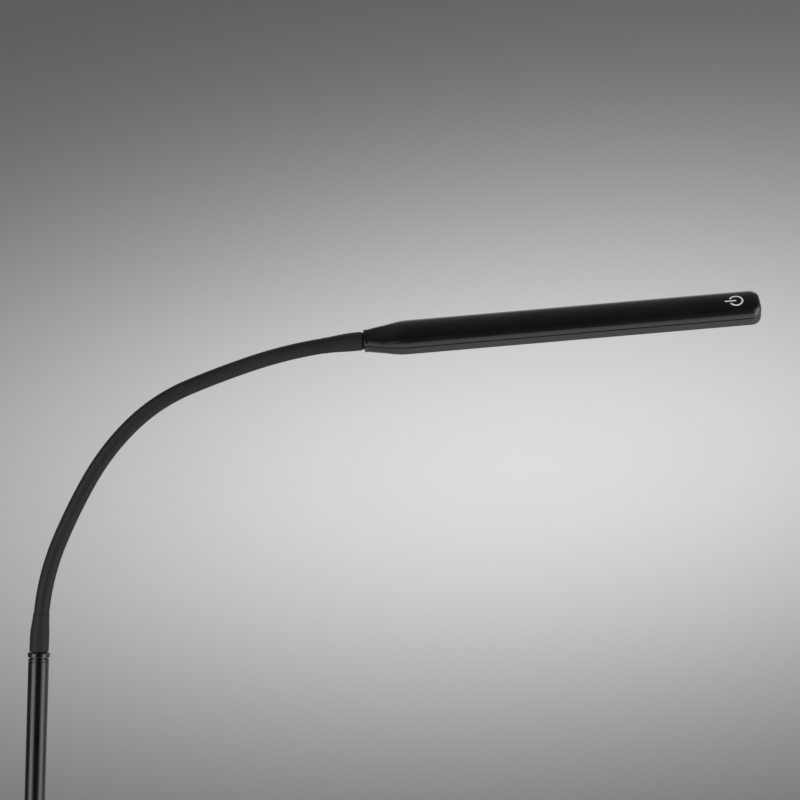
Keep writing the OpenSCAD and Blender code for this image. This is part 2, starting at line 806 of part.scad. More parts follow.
module end_nut() {
    color(brass) at_swivel() translate([0, 0, end_nut_x]) difference() {
        cylinder(h = end_nut_t, d = end_nut_d);
        translate([0, 0, -1]) cylinder(h = end_nut_t + 2, r = end_thread_d / 2 + thread_gap);
        translate([-end_nut_d, -0.6, end_nut_t - 1]) cube([2 * end_nut_d, 1.2, 2]);
    }
}

module tip_lead() {
    color(lead_white) union() {
        swept(tip_i, lead_relief, tip_l, lead_r);
        at_swivel() cylinder(h = thread_end_x, r = lead_r);
        at_swivel() sphere(lead_r + bend_swell);
    }
}

// Block inside the collar that the journal turns in
module swivel_socket() {
    color(aluminium) at_head() difference() {
        intersection() {
            neck_form(shell_wall + 0.05);
            translate([socket_x, -head_w, -head_w]) cube([socket_l, 2 * head_w, 2 * head_w]);
        }
        rotate([0, 90, 0]) cylinder(h = flare_l, r = journal_r + running_gap);
    }
}

// Ribs in both halves of the head that trap the block
module socket_ribs() {
    for (side = [0, 1]) mirror([0, side, 0])
        translate([socket_end_x + 0.05, rib_y, -head_w]) cube([rib_t, head_w, 2 * head_w]);
}

// Outlines of the head, each drawn inside the outer face by an inset

function bar_outline(inset) = let (
    half = bar_half - inset,
    low = -head_bottom + inset,
    low_r = max(bottom_edge_r - inset, 0.1))
    concat(
        arc([half - low_r, low + low_r], low_r, -90, 0, 3),
        arc([edge_y, edge_z], top_edge_r - inset, 0, 90 - crown_turn, arc_steps),
        [for (k = [1:crown_steps - 1]) let (t = 90 - crown_turn + 2 * crown_turn * k / crown_steps)
            [0, crown_z] + (crown_r - inset) * [cos(t), sin(t)]],
        arc([-edge_y, edge_z], top_edge_r - inset, 90 + crown_turn, 180, arc_steps),
        arc([-half + low_r, low + low_r], low_r, 180, 270, 3));

module across(x, length) {
    translate([x, 0, 0]) rotate([90, 0, 90]) linear_extrude(length) children();
}

// The flare between the oval collar and the bar
module neck_form(inset) {
    slice = 0.1;
    hull() {
        across(inset, collar_l) scale([(collar_w / 2 - inset) / (collar_h / 2 - inset), 1])
            circle(collar_h / 2 - inset, $fn = 48);
        across(flare_l - slice, slice) polygon(bar_outline(inset));
    }
}

module tip_plan(inset) {
    corner = tip_corner_r - inset;
    far_x = head_l - inset;
    half = bar_half - inset;
    polygon(concat([[0, -half]], arc([far_x - corner, -half + corner], corner, -90, 0, arc_steps),
        arc([far_x - corner, half - corner], corner, 0, 90, arc_steps), [[0, half]]));
}

module tip_side(inset) {
    far_x = head_l - inset;
    edge = tip_edge_r - inset;
    top_z = head_top - inset;
    polygon(concat([[0, -head_bottom + inset], [far_x, -head_bottom + inset]],
        arc([far_x - edge, top_z - edge], edge, 0, 90, arc_steps), [[0, top_z]]));
}

module bar_form(inset) {
    intersection() {
        across(flare_l, head_l) polygon(bar_outline(inset));
        translate([0, 0, -head_w]) linear_extrude(2 * head_w) tip_plan(inset);
        rotate([90, 0, 0]) translate([0, 0, -head_w]) linear_extrude(2 * head_w) tip_side(inset);
    }
}

module head_form(inset) {
    neck_form(inset);
    bar_form(inset);
}

module hollow_form() {
    difference() {
        head_form(shell_wall);
        socket_ribs();
    }
}

module above_seam() {
    translate([-1, -head_w, seam_z]) cube([head_l + 2, 2 * head_w, head_w]);
}

module below_seam() {
    translate([-1, -head_w, seam_z - head_w]) cube([head_l + 2, 2 * head_w, head_w]);
}

module tap_screw_places() {
    for (x = tap_rows, side = [-1, 1]) translate([x, side * tap_screw_y, 0]) children();
}

module journal_hole() {
    rotate([0, 90, 0]) translate([0, 0, -1]) cylinder(h = 4, r = journal_r + moving_gap);
}

// Flat outline of the power symbol, its bar towards the neck
module symbol_outline() {
    ring_r = symbol_d / 2;
    gap_reach = 2 * symbol_d;
    bar_l = ring_r * 1.4;
    translate([symbol_x, 0]) {
        difference() {
            circle(ring_r);
            circle(ring_r - symbol_line);
            polygon([[0, 0], gap_reach * [-cos(symbol_gap), sin(symbol_gap)],
                     gap_reach * [-cos(symbol_gap), -sin(symbol_gap)]]);
        }
        translate([-bar_l, -symbol_line / 2]) square([bar_l, symbol_line]);
    }
}

module head_shell() {
    color(black_plastic) at_head() difference() {
        union() {
            intersection() {
                difference() {
                    head_form(0);
                    hollow_form();
                }
                above_seam();
            }
            tap_screw_places() translate([0, 0, plate_top_z])
                cylinder(h = boss_top - plate_top_z, d = boss_d);
        }
        journal_hole();
        tap_screw_places() cylinder(h = boss_top - 0.6, d = tap_screw_d + 2 * thread_gap);
        translate([0, 0, head_top - symbol_depth]) linear_extrude(2) symbol_outline();
    }
}

module power_symbol() {
    color(white_mask) at_head() intersection() {
        across(symbol_x - symbol_d, 2 * symbol_d) polygon(bar_outline(0));
        translate([0, 0, head_top - symbol_depth]) linear_extrude(2) symbol_outline();
    }
}

module head_frame() {
    pocket_h = diffuser_top_z + head_bottom + 1;
    color(black_plastic) at_head() difference() {
        intersection() {
            head_form(0);
            below_seam();
        }
        difference() {
            neck_form(shell_wall);
            socket_ribs();
        }
        journal_hole();
        translate([0, 0, -head_bottom - 1]) linear_extrude(pocket_h) plan_from(frame_wall, bar_start_x);
        translate([0, 0, diffuser_top_z]) linear_extrude(ledge_z - diffuser_top_z)
            plan_from(frame_wall + diffuser_step, bar_start_x);
        translate([flare_l - 1, -ledge_slot_half, ledge_z - 1])
            cube([slot_end_x - flare_l + 1, 2 * ledge_slot_half, ledge_t + 2]);
        tap_screw_places() translate([0, 0, ledge_z - 1])
            cylinder(h = ledge_t + 2, d = tap_screw_d + 2 * screw_gap);
    }
}

// The bar's plan, inset from its outline and cut off square at x
module plan_from(inset, x) {
    intersection() {
        tip_plan(inset);
        translate([x, -head_w]) square([head_l, 2 * head_w]);
    }
}

module diffuser() {
    color(opal) at_head() translate([0, 0, diffuser_z]) linear_extrude(diffuser_t)
        plan_from(frame_wall + 0.2, bar_start_x + 0.2);
}

module heat_plate() {
    color(aluminium) at_head() difference() {
        translate([0, 0, plate_bottom_z]) linear_extrude(heat_plate_t)
            plan_from(shell_wall + loose_gap, heat_plate_x);
        tap_screw_places() cylinder(h = 2 * plate_top_z, d = tap_screw_d + 2 * screw_gap);
    }
}

module led_board() {
    color(white_mask) at_head() translate([led_start_x, -led_board_w / 2, plate_bottom_z - led_board_t])
        cube([led_end_x - led_start_x, led_board_w, led_board_t]);
}

module led_chips() {
    color(chip_yellow) at_head() for (k = [0:chip_count - 1])
        translate([led_start_x + chip_margin + k * chip_pitch - chip_size[0] / 2, -chip_size[1] / 2,
                   plate_bottom_z - led_board_t - chip_size[2]])
            cube(chip_size);
}

module control_board() {
    color(board_green) at_head() translate([control_x, 0, control_z]) union() {
        translate([0, -control_w / 2, 0]) cube([control_l, control_w, control_t]);
        translate([0.5, -3.5, control_t]) cube([6, 7, 3]);
        translate([11, -3.5, control_t]) cube([7, 7, 2.6]);
        translate([21, -2.5, control_t]) cube([5, 5, 1.2]);
        translate([31, 0, control_t]) cylinder(h = 2.6, d = 5);
    }
}

module touch_spring() {
    ring_r = 4;
    top_z = head_top - shell_wall - 0.3;
    color(brass) at_head() translate([symbol_x, 0, control_top_z]) difference() {
        cylinder(h = top_z - control_top_z, r = ring_r);
        translate([0, 0, -1]) cylinder(h = 10, r = ring_r - 0.7);
    }
}

module head_screws() {
    color(bare_steel) at_head() tap_screw_places() union() {
        translate([0, 0, ledge_z - tap_screw_head_h]) cylinder(h = tap_screw_head_h, d = tap_screw_head_d);
        translate([0, 0, ledge_z - 0.1]) cylinder(h = boss_top - 1 - ledge_z, d = tap_screw_d);
    }
}

module head_wires() {
    color(lead_white) at_head() for (side = [-1, 1])
        wire([[thread_end_x + 0.6, side * wire_y, 0], [thread_end_x + 2, side * wire_y, 0],
              [heat_plate_x - 2, side * wire_y, wire_z], [control_x - 0.5, side * wire_y, wire_z]], wire_r);
}

base_pad();
base_plate();
base_weight();
base_cover();
plate_screws();
foot_flange();
foot_stud();
stud_washer();
stud_nut();
power_inlet();
inlet_nut();
inlet_pin();
foot_bush();
pole_lower();
pole_middle();
pole_upper();
joint_bushes();
joint_studs();
power_lead();
neck_collar();
lower_boot();
core_root();
for (i = [1:link_count]) core(i);
for (i = [1:link_count]) sleeve(i);
for (i = [1:link_count]) lead(i);
core_tip();
upper_boot();
swivel_journal();
thrust_washer();
tip_lead();
end_nut();
swivel_socket();
head_shell();
head_frame();
diffuser();
heat_plate();
led_board();
led_chips();
control_board();
touch_spring();
power_symbol();
head_screws();
head_wires();
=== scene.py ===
"""Looks of a floor lamp with a gooseneck and a slim bar head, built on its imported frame.

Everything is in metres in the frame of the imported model, +Z up and the head towards +X. The
lamp's own sizes are written in millimetres and turned into metres where a mesh is made.
"""

import logging
from collections.abc import Callable, Sequence
from dataclasses import dataclass
from enum import Enum
from math import acos, asin, atan2, cos, hypot, pi, radians, remainder, sin, sqrt, tan

import bmesh
import bpy
from mathutils import Matrix, Vector


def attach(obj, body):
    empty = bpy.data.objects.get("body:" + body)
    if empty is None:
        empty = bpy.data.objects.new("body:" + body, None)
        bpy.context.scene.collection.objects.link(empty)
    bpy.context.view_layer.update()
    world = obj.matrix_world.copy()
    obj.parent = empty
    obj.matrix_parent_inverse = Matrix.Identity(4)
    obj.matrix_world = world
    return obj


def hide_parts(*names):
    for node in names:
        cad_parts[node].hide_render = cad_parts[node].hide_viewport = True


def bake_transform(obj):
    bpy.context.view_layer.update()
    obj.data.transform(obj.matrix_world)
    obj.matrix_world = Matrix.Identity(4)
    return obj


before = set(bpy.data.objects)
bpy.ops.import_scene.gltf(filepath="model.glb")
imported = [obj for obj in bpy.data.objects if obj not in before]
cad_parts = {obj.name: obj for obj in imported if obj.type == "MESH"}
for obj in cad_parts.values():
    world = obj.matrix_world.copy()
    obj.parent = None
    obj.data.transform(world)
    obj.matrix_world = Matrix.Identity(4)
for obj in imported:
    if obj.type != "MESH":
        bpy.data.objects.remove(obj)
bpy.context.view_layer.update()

LOG = logging.getLogger("floor_lamp")
MM = 0.001
Pair = tuple[float, float]
Outline = list[Pair]
Triple = tuple[float, float, float]
Corner = Triple
Colour = Triple
FrameAt = Callable[[float], Matrix]
Tree = bpy.types.NodeTree
Node = bpy.types.Node
Outputs = bpy.types.NodeOutputs
Socket = bpy.types.NodeSocket
Source = Node | Socket
Piece = bpy.types.Object
Shape = bmesh.types.BMesh
Row = list[bmesh.types.BMVert]
Places = Sequence[Vector]


class Slot(Enum):
    """Material slots that the finishes belong to."""

    ZINC = "zinc_steel"
    PAINT = "satin_black"
    IRON = "iron"
    FOAM = "foam"
    PLASTIC = "black_plastic"
    NICKEL = "nickel"
    RUBBER = "neck_rubber"
    CORE = "core_steel"
    LEAD = "lead_white"
    WASHER = "washer_black"
    BRASS = "brass"
    ALUMINIUM = "aluminium"
    OPAL = "opal"
    MASK = "white_mask"
    CHIP = "chip_yellow"
    BOARD = "board_green"


def mix(a: float, b: float, share: float) -> float:
    """Returns the value that lies the given share of the way from a to b."""
    return a + (b - a) * share


def ease(share: float) -> float:
    """Returns a smooth step from 0 to 1, level at both ends, held outside 0 to 1."""
    share = min(max(share, 0.0), 1.0)
    return share * share * (3 - 2 * share)


# Node trees

def feed(tree: Tree, node: Node, inputs: dict) -> None:
    """Gives a node's inputs what they need.

    Args:
        tree: the node's tree.
        node: the node.
        inputs: for each input, by name or number, a plain value, the output that feeds it, or
            the node whose first output feeds it.
    """
    for key, value in inputs.items():
        if isinstance(value, Node):
            value = value.outputs[0]
        if isinstance(value, Socket):
            tree.links.new(value, node.inputs[key])
        else:
            node.inputs[key].default_value = value


def place(tree: Tree, kind: str, inputs: dict | None = None, **settings: object) -> Node:
    """Adds a node to a tree.

    Args:
        tree: the tree.
        kind: the node's type name.
        inputs: what its inputs get, as in feed.
        **settings: the node's own settings.

    Returns:
        The new node.
    """
    node = tree.nodes.new(kind)
    for key, value in settings.items():
        setattr(node, key, value)
    feed(tree, node, inputs or {})
    return node


def reckon(tree: Tree, kind: str, *values: object) -> Socket:
    """Returns the result of one calculation on values given as in feed."""
    return place(tree, "ShaderNodeMath", dict(enumerate(values)), operation=kind).outputs[0]


def reckon_3d(tree: Tree, kind: str, *values: object, **named: object) -> Socket:
    """Returns the result of one calculation on vectors, given as in feed."""
    inputs = {**dict(enumerate(values)), **named}
    return place(tree, "ShaderNodeVectorMath", inputs, operation=kind).outputs[0]


def remap(tree: Tree, value: Socket, low: float, high: float, to_low: float = 0.0,
          to_high: float = 1.0) -> Socket:
    """Maps a value from one range to another, and holds it inside.

    Args:
        tree: the tree.
        value: the value.
        low: start of its range.
        high: end of its range.
        to_low: start of the new range.
        to_high: end of the new range.

    Returns:
        The mapped value.
    """
    return place(tree, "ShaderNodeMapRange",
                 {"Value": value, "From Min": low, "From Max": high, "To Min": to_low,
                  "To Max": to_high}).outputs["Result"]


def noise(tree: Tree, scale: object, detail: float, spot: Socket | None = None,
          roughness: float = 0.5) -> Socket:
    """Adds noise that stays on the piece when it moves.

    Args:
        tree: the tree.
        scale: features per metre, as a value or an output.
        detail: number of finer layers.
        spot: where to look the noise up; the piece's own place where it is left out.
        roughness: weight of the finer layers.

    Returns:
        The noise, between 0 and 1.
    """
    spot = spot or place(tree, "ShaderNodeTexCoord").outputs["Object"]
    return place(tree, "ShaderNodeTexNoise",
                 {"Vector": spot, "Scale": scale, "Detail": detail,
                  "Roughness": roughness}).outputs["Fac"]


def make_group(name: str, inputs: dict[str, tuple[str, object]], outputs: dict[str, str],
               kind: str = "ShaderNodeTree") -> tuple[Tree, Outputs]:
    """Starts a node group with named inputs and outputs.

    Args:
        name: the group's name.
        inputs: socket kind and first value of each input, by name.
        outputs: socket kind of each output, by name.
        kind: the tree's type, for shaders or for geometry.

    Returns:
        The tree and what its inputs give.
    """
    tree = bpy.data.node_groups.new(name, kind)
    for label, (socket_kind, value) in inputs.items():
        socket = tree.interface.new_socket(label, in_out="INPUT",
                                           socket_type="NodeSocket" + socket_kind)
        if value is not None:
            socket.default_value = value
    for label, socket_kind in outputs.items():
        tree.interface.new_socket(label, in_out="OUTPUT", socket_type="NodeSocket" + socket_kind)
    return tree, place(tree, "NodeGroupInput").outputs


def close_group(tree: Tree, results: dict[str, Source]) -> None:
    """Links a group's results, by name, to its output node."""
    place(tree, "NodeGroupOutput", results)


class SharedEffects:
    """Shader groups that several finishes use, each built once."""

    def __init__(self) -> None:
        """Builds the three groups."""
        self.grain = self._make_grain()
        self.wear = self._make_wear()
        self.dust = self._make_dust()

    @staticmethod
    def _make_grain() -> Tree:
        """Makes the group for a surface's texture.

        Returns:
            A group with a fine grain's height and a slow mottle between 0 and 1.
        """
        tree, given = make_group(
            "surface_grain",
            {"Grain Scale": ("Float", 2000.0), "Mottle Scale": ("Float", 30.0),
             "Stretch": ("Vector", (1.0, 1.0, 1.0))},
            {"Height": "Float", "Mottle": "Float"})
        spot = place(tree, "ShaderNodeTexCoord").outputs["Object"]
        drawn = reckon_3d(tree, "MULTIPLY", spot, given["Stretch"])
        fine = noise(tree, given["Grain Scale"], 3.0, drawn, roughness=0.6)
        slow = noise(tree, given["Mottle Scale"], 4.0, drawn)
        close_group(tree, {"Height": fine, "Mottle": remap(tree, slow, 0.3, 0.7)})
        return tree

    @staticmethod
    def _make_wear() -> Tree:
        """Makes the group for rubbed edges.

        Returns:
            A group with a mask of the rubbed outer edges.
        """
        tree, given = make_group(
            "edge_wear", {"Amount": ("Float", 0.3), "Patch Scale": ("Float", 60.0)},
            {"Mask": "Float"})
        sharp = place(tree, "ShaderNodeNewGeometry").outputs["Pointiness"]
        edge = remap(tree, sharp, 0.53, 0.62)
        kept = remap(tree, noise(tree, given["Patch Scale"], 5.0), 0.45, 0.7)
        both = reckon(tree, "MULTIPLY", edge, kept)
        close_group(tree, {"Mask": reckon(tree, "MULTIPLY", both, given["Amount"])})
        return tree

    @staticmethod
    def _make_dust() -> Tree:
        """Makes the group for dust.

        Returns:
            A group with a mask of the dust that settles on level faces.
        """
        tree, given = make_group(
            "settled_dust", {"Amount": ("Float", 0.1), "Speck Scale": ("Float", 900.0)},
            {"Mask": "Float"})
        up = place(tree, "ShaderNodeSeparateXYZ",
                   {0: place(tree, "ShaderNodeNewGeometry").outputs["Normal"]}).outputs["Z"]
        level = remap(tree, up, 0.5, 1.0)
        sparse = remap(tree, noise(tree, given["Speck Scale"], 2.0), 0.5, 0.8)
        both = reckon(tree, "MULTIPLY", level, sparse)
        close_group(tree, {"Mask": reckon(tree, "MULTIPLY", both, given["Amount"])})
        return tree


EFFECTS = SharedEffects()
DUST_COLOUR: Colour = (0.4, 0.38, 0.35)
SCATTER_DEPTH = 0.003
# The mix node's sockets for colours, by number, since other sockets share their names
MIX_COLOURS = (6, 7)
MIX_RESULT = 2


@dataclass(frozen=True)
class Finish:
    """One finish of the lamp, with the detail that its real surface shows.

    Attributes:
        name: the material's name.
        slot: the material slot that it belongs to; not used.
        deep: colour where the mottle is darkest.
        light: colour where the mottle is lightest.
        rough: lowest and highest roughness.
        grain: grains per metre.
        depth: height of the grain, in metres.
        mottle: patches of colour per metre.
        stretch: how much the pattern is drawn out along each axis, as in brushed metal.
        metallic: 1 for bare metal.
        ior: index of refraction of the surface.
        worn: colour of the rubbed edges.
        wear: how strongly the edges are rubbed.
        dust: how much dust lies on level faces.
        scatter: weight of the light scattered under the surface.
    """

    name: str
    slot: Slot
    deep: Colour
    light: Colour
    rough: Pair
    grain: float = 2500.0
    depth: float = 0.00002
    mottle: float = 30.0
    stretch: Triple = (1.0, 1.0, 1.0)
    metallic: float = 0.0
    ior: float = 1.5
    worn: Colour = (0.05, 0.05, 0.05)
    wear: float = 0.0
    dust: float = 0.0
    scatter: float = 0.0

    def material(self) -> bpy.types.Material:
        """Finds the finish's material, or builds it the first time.

        Returns:
            The material.
        """
        known = bpy.data.materials.get(self.name)
        if known:
            return known
        material = bpy.data.materials.new(self.name)
        material.use_nodes = True
        tree = material.node_tree
        grain = place(tree, "ShaderNodeGroup",
                      {"Grain Scale": self.grain, "Mottle Scale": self.mottle,
                       "Stretch": self.stretch}, node_tree=EFFECTS.grain)
        colour = self._blend(tree, grain.outputs["Mottle"], (*self.deep, 1.0), self.light)
        rough = remap(tree, grain.outputs["Mottle"], 0.0, 1.0, *self.rough)
        if self.wear:
            mask = place(tree, "ShaderNodeGroup", {"Amount": self.wear}, node_tree=EFFECTS.wear)
            colour = self._blend(tree, mask.outputs["Mask"], colour, self.worn)
        if self.dust:
            mask = place(tree, "ShaderNodeGroup", {"Amount": self.dust}, node_tree=EFFECTS.dust)
            colour = self._blend(tree, mask.outputs["Mask"], colour, DUST_COLOUR)
            rough = place(tree, "ShaderNodeMath", {0: rough, 1: mask.outputs["Mask"]},
                          operation="ADD", use_clamp=True).outputs[0]
        bump = place(tree, "ShaderNodeBump",
                     {"Height": grain.outputs["Height"], "Distance": self.depth})
        shader = tree.nodes["Principled BSDF"]
        feed(tree, shader, {"Base Color": colour, "Roughness": rough,
                            "Normal": bump.outputs["Normal"], "Metallic": self.metallic,
                            "IOR": self.ior})
        if self.scatter:
            feed(tree, shader, {"Subsurface Weight": self.scatter, "Subsurface Scale": 1.0,
                                "Subsurface Radius": (SCATTER_DEPTH,) * 3})
        return material

    @staticmethod
    def _blend(tree: Tree, share: Socket, low: object, high: Colour) -> Socket:
        """Blends two colours by a share that changes over the surface.

        Args:
            tree: the tree.
            share: how much of the second colour shows, from 0 to 1.
            low: the first colour, plain with its alpha or as an output.
            high: the second colour.

        Returns:
            The blended colour.
        """
        inputs = {"Factor": share, **dict(zip(MIX_COLOURS, (low, (*high, 1.0))))}
        return place(tree, "ShaderNodeMix", inputs, data_type="RGBA",
                     clamp_factor=True).outputs[MIX_RESULT]


SATIN_PAINT = Finish("satin_black_paint", Slot.PAINT, (0.0014, 0.0014, 0.0016),
                     (0.0028, 0.0028, 0.0031), (0.2, 0.25), grain=1400, depth=0.000006,
                     ior=1.7, worn=(0.02, 0.02, 0.02), wear=0.3, dust=0.01)
MOULDED = Finish("moulded_black_plastic", Slot.PLASTIC, (0.0022, 0.0022, 0.0024),
                 (0.0038, 0.0038, 0.0041), (0.27, 0.33), grain=3200, depth=0.00001,
                 ior=1.8, worn=(0.02, 0.02, 0.02), wear=0.3, dust=0.01)
NECK_RUBBER = Finish("matte_neck_rubber", Slot.RUBBER, (0.008, 0.008, 0.0083),
                     (0.012, 0.012, 0.0125), (0.55, 0.66), grain=2600, depth=0.00003,
                     mottle=45, ior=1.42, worn=(0.04, 0.04, 0.04), wear=0.3, dust=0.015)
ZINC = Finish("zinc_plate", Slot.ZINC, (0.52, 0.53, 0.55), (0.68, 0.68, 0.66), (0.28, 0.4),
              grain=900, mottle=120, metallic=1.0)
CORE_STEEL = Finish("wound_spring_steel", Slot.CORE, (0.38, 0.38, 0.4), (0.55, 0.55, 0.56),
                    (0.3, 0.45), grain=1500, mottle=90, metallic=1.0)
# Near-black steel for the journal: painted shade, darkened so that the gap between the upper boot
# and the head reads as dark as its shade.
PAINTED_SHADE_STEEL = Finish("steel_painted_gap_shade", Slot.CORE, (0.03, 0.03, 0.033), (0.055, 0.055, 0.06),
                     (0.35, 0.45), grain=1800, mottle=120, metallic=1.0)
CAST_IRON = Finish("rough_cast_iron", Slot.IRON, (0.07, 0.07, 0.075), (0.14, 0.14, 0.145),
                   (0.6, 0.8), grain=500, depth=0.0003, mottle=80, metallic=0.6)
FOAM = Finish("closed_cell_foam", Slot.FOAM, (0.018, 0.018, 0.018), (0.035, 0.035, 0.035),
              (0.85, 0.95), grain=1500, depth=0.0003)
NICKEL = Finish("nickel_plate", Slot.NICKEL, (0.62, 0.6, 0.55), (0.72, 0.7, 0.66), (0.16, 0.24),
                metallic=1.0)
JACKET = Finish("white_cable_jacket", Slot.LEAD, (0.68, 0.68, 0.67), (0.78, 0.78, 0.77),
                (0.42, 0.55), grain=1800, mottle=60)
# Near-black washer: painted shade, darkened so that the gap between the upper boot and the head's
# collar reads as dark as the shade that falls there.
PAINTED_SHADE_ACETAL = Finish("acetal_painted_gap_shade", Slot.WASHER, (0.002, 0.002, 0.002), (0.004, 0.004, 0.004),
                (0.5, 0.6), mottle=80, ior=1.3)
BRASS = Finish("turned_brass", Slot.BRASS, (0.62, 0.45, 0.2), (0.75, 0.58, 0.28), (0.25, 0.38),
               grain=1200, mottle=90, metallic=1.0)
ALUMINIUM = Finish("rolled_aluminium", Slot.ALUMINIUM, (0.68, 0.69, 0.7), (0.78, 0.79, 0.8),
                   (0.3, 0.45), grain=600, mottle=40, stretch=(0.1, 1.0, 1.0), metallic=1.0)
OPAL = Finish("opal_diffuser", Slot.OPAL, (0.82, 0.82, 0.79), (0.87, 0.87, 0.84), (0.35, 0.42),
              grain=3000, depth=0.00001, mottle=12, scatter=0.6)
SOLDER_MASK = Finish("white_solder_mask", Slot.MASK, (0.78, 0.78, 0.76), (0.85, 0.85, 0.83),
                     (0.3, 0.42), mottle=70)
SYMBOL_INK = Finish("light_symbol_inlay", Slot.MASK, (0.6, 0.6, 0.6), (0.68, 0.68, 0.68),
                    (0.4, 0.5), mottle=200, depth=0.00001)
PHOSPHOR = Finish("led_phosphor", Slot.CHIP, (0.8, 0.62, 0.16), (0.88, 0.74, 0.28), (0.2, 0.3),
                  mottle=600, scatter=0.3)
BOARD_LACQUER = Finish("green_board_lacquer", Slot.BOARD, (0.02, 0.12, 0.06),
                       (0.04, 0.19, 0.1), (0.25, 0.38), grain=900, mottle=220)


# Meshes

def rounded(corners: Sequence[Corner], steps: int = 5) -> Outline:
    """Rounds the corners of a closed outline.

    Args:
        corners: the two measures and the rounding radius of each corner, 0 for a sharp one.
        steps: straight pieces in each rounded corner.

    Returns:
        The outline's points, in order.
    """
    points: Outline = []
    for k, (u, v, radius) in enumerate(corners):
        if radius == 0:
            points.append((u, v))
            continue
        here = Vector((u, v))
        back = (Vector(corners[k - 1][:2]) - here).normalized()
        ahead = (Vector(corners[(k + 1) % len(corners)][:2]) - here).normalized()
        half = acos(max(-1.0, min(1.0, back.dot(ahead)))) / 2
        centre = here + (back + ahead).normalized() * (radius / sin(half))
        first = here + back * (radius / tan(half)) - centre
        last = here + ahead * (radius / tan(half)) - centre
        start = atan2(first.y, first.x)
        turn = remainder(atan2(last.y, last.x) - start, 2 * pi)
        for n in range(steps + 1):
            angle = start + turn * n / steps
            points.append((centre.x + radius * cos(angle), centre.y + radius * sin(angle)))
    return points


def add_strip(shape: Shape, one: Row, two: Row, closed: bool = False) -> None:
    """Fills the gap between two rows of points with faces.

    Args:
        shape: the mesh.
        one: points of the first row; a single point makes a fan.
        two: points of the second row.
        closed: whether the last point joins the first.
    """
    count = max(len(one), len(two))
    for k in range(count if closed else count - 1):
        n = (k + 1) % count
        corners = [one[k % len(one)], one[n % len(one)], two[n % len(two)], two[k % len(two)]]
        unique = list(dict.fromkeys(corners))
        if len(unique) > 2:
            shape.faces.new(unique)


def loft(shape: Shape, rows: Sequence[Row], closed: bool = True, caps: bool = False) -> None:
    """Fills the gaps between rows of points, one after the other.

    Args:
        shape: the mesh.
        rows: the rows, in order.
        closed: whether each row runs round.
        caps: whether the first and the last row are filled too.
    """
    for one, two in zip(rows, rows[1:]):
        add_strip(shape, one, two, closed)
    if caps:
        shape.faces.new(rows[0])
        shape.faces.new(rows[-1])


def mirrored(points: Places) -> list[Vector]:
    """Returns the points on the other side of the plane y = 0, in the opposite order."""
    return [Vector((p.x, -p.y, p.z)) for p in reversed(points)]


def add_row(shape: Shape, points: Places) -> Row:
    """Adds a row of points to a mesh and returns them."""
    return [shape.verts.new(point) for point in points]


def add_object(name: str, data: bpy.types.ID) -> Piece:
    """Adds an object to the scene.

    Args:
        name: the object's name.
        data: its mesh, light or camera.

    Returns:
        The object.
    """
    thing = bpy.data.objects.new(name, data)
    bpy.context.scene.collection.objects.link(thing)
    return thing


def make_object(name: str, shape: Shape, crease_deg: float = 35.0, outward: bool = True) -> Piece:
    """Turns a mesh being built into an object at the origin.

    Args:
        name: the object's name.
        shape: the mesh, which is used up.
        crease_deg: edges sharper than this stay sharp.
        outward: whether to turn the faces of a closed mesh outwards.

    Returns:
        The new object.
    """
    if outward:
        bmesh.ops.recalc_face_normals(shape, faces=shape.faces)
    mesh = bpy.data.meshes.new(name)
    shape.to_mesh(mesh)
    shape.free()
    mesh.shade_smooth()
    mesh.set_sharp_from_angle(angle=radians(crease_deg))
    return add_object(name, mesh)


def revolve(name: str, outline: Outline, frame_at: FrameAt, segments: int = 96) -> Piece:
    """Turns a closed outline round an axis, which may be straight or curved.

    Args:
        name: the object's name.
        outline: distance along the axis and radius of each point, in mm.
        frame_at: the frame at a distance along the axis, +Z along it, in metres.
        segments: faces round the axis.

    Returns:
        The new object.
    """
    shape = bmesh.new()
    rings = []
    for along, radius in outline:
        at = frame_at(along * MM)
        angles = [2 * pi * n / segments for n in range(segments if radius > 0 else 1)]
        rings.append(add_row(shape, [
            at @ Vector((radius * MM * cos(a), radius * MM * sin(a), 0.0)) for a in angles]))
    loft(shape, rings + rings[:1])
    return make_object(name, shape)


def turned(name: str, corners: Sequence[Corner], frame_at: FrameAt, segments: int,
           steps: int = 5) -> Piece:
    """Returns a turned piece whose outline has rounded corners."""
    return revolve(name, rounded(corners, steps), frame_at, segments)


def upright(along: float) -> Matrix:
    """Returns the frame at a height on the pole's axis."""
    return Matrix.Translation((0.0, 0.0, along))


def as_plain(source: Piece, name: str, crease_deg: float = 35.0) -> Piece:
    """Turns an object and its modifiers into a plain mesh object.

    Args:
        source: the object, which is removed.
        name: the new object's name.
        crease_deg: edges sharper than this stay sharp.

    Returns:
        The new object, with no modifier.
    """
    graph = bpy.context.evaluated_depsgraph_get()
    mesh = bpy.data.meshes.new_from_object(source.evaluated_get(graph), depsgraph=graph)
    bpy.data.objects.remove(source)
    shape = bmesh.new()
    shape.from_mesh(mesh)
    bpy.data.meshes.remove(mesh)
    return make_object(name, shape, crease_deg)


def settle(thing: Piece, finish: Finish, body: str | None, *nodes: str) -> Piece:
    """Dresses a finished piece, puts it on its body and hides the nodes of the frame that it
    stands for.

    Args:
        thing: the piece.
        finish: its finish.
        body: the body it rides on, or None where it is put on no body.
        *nodes: the nodes of the frame that it replaces.

    Returns:
        The piece.
    """
    thing.data.materials.clear()
    thing.data.materials.append(finish.material())
    if body:
        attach(thing, body)
    if nodes:
        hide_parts(*nodes)
    LOG.info("%s: %s, %d faces, on %s", thing.name, finish.name, len(thing.data.polygons),
             body or "two bodies")
    return thing


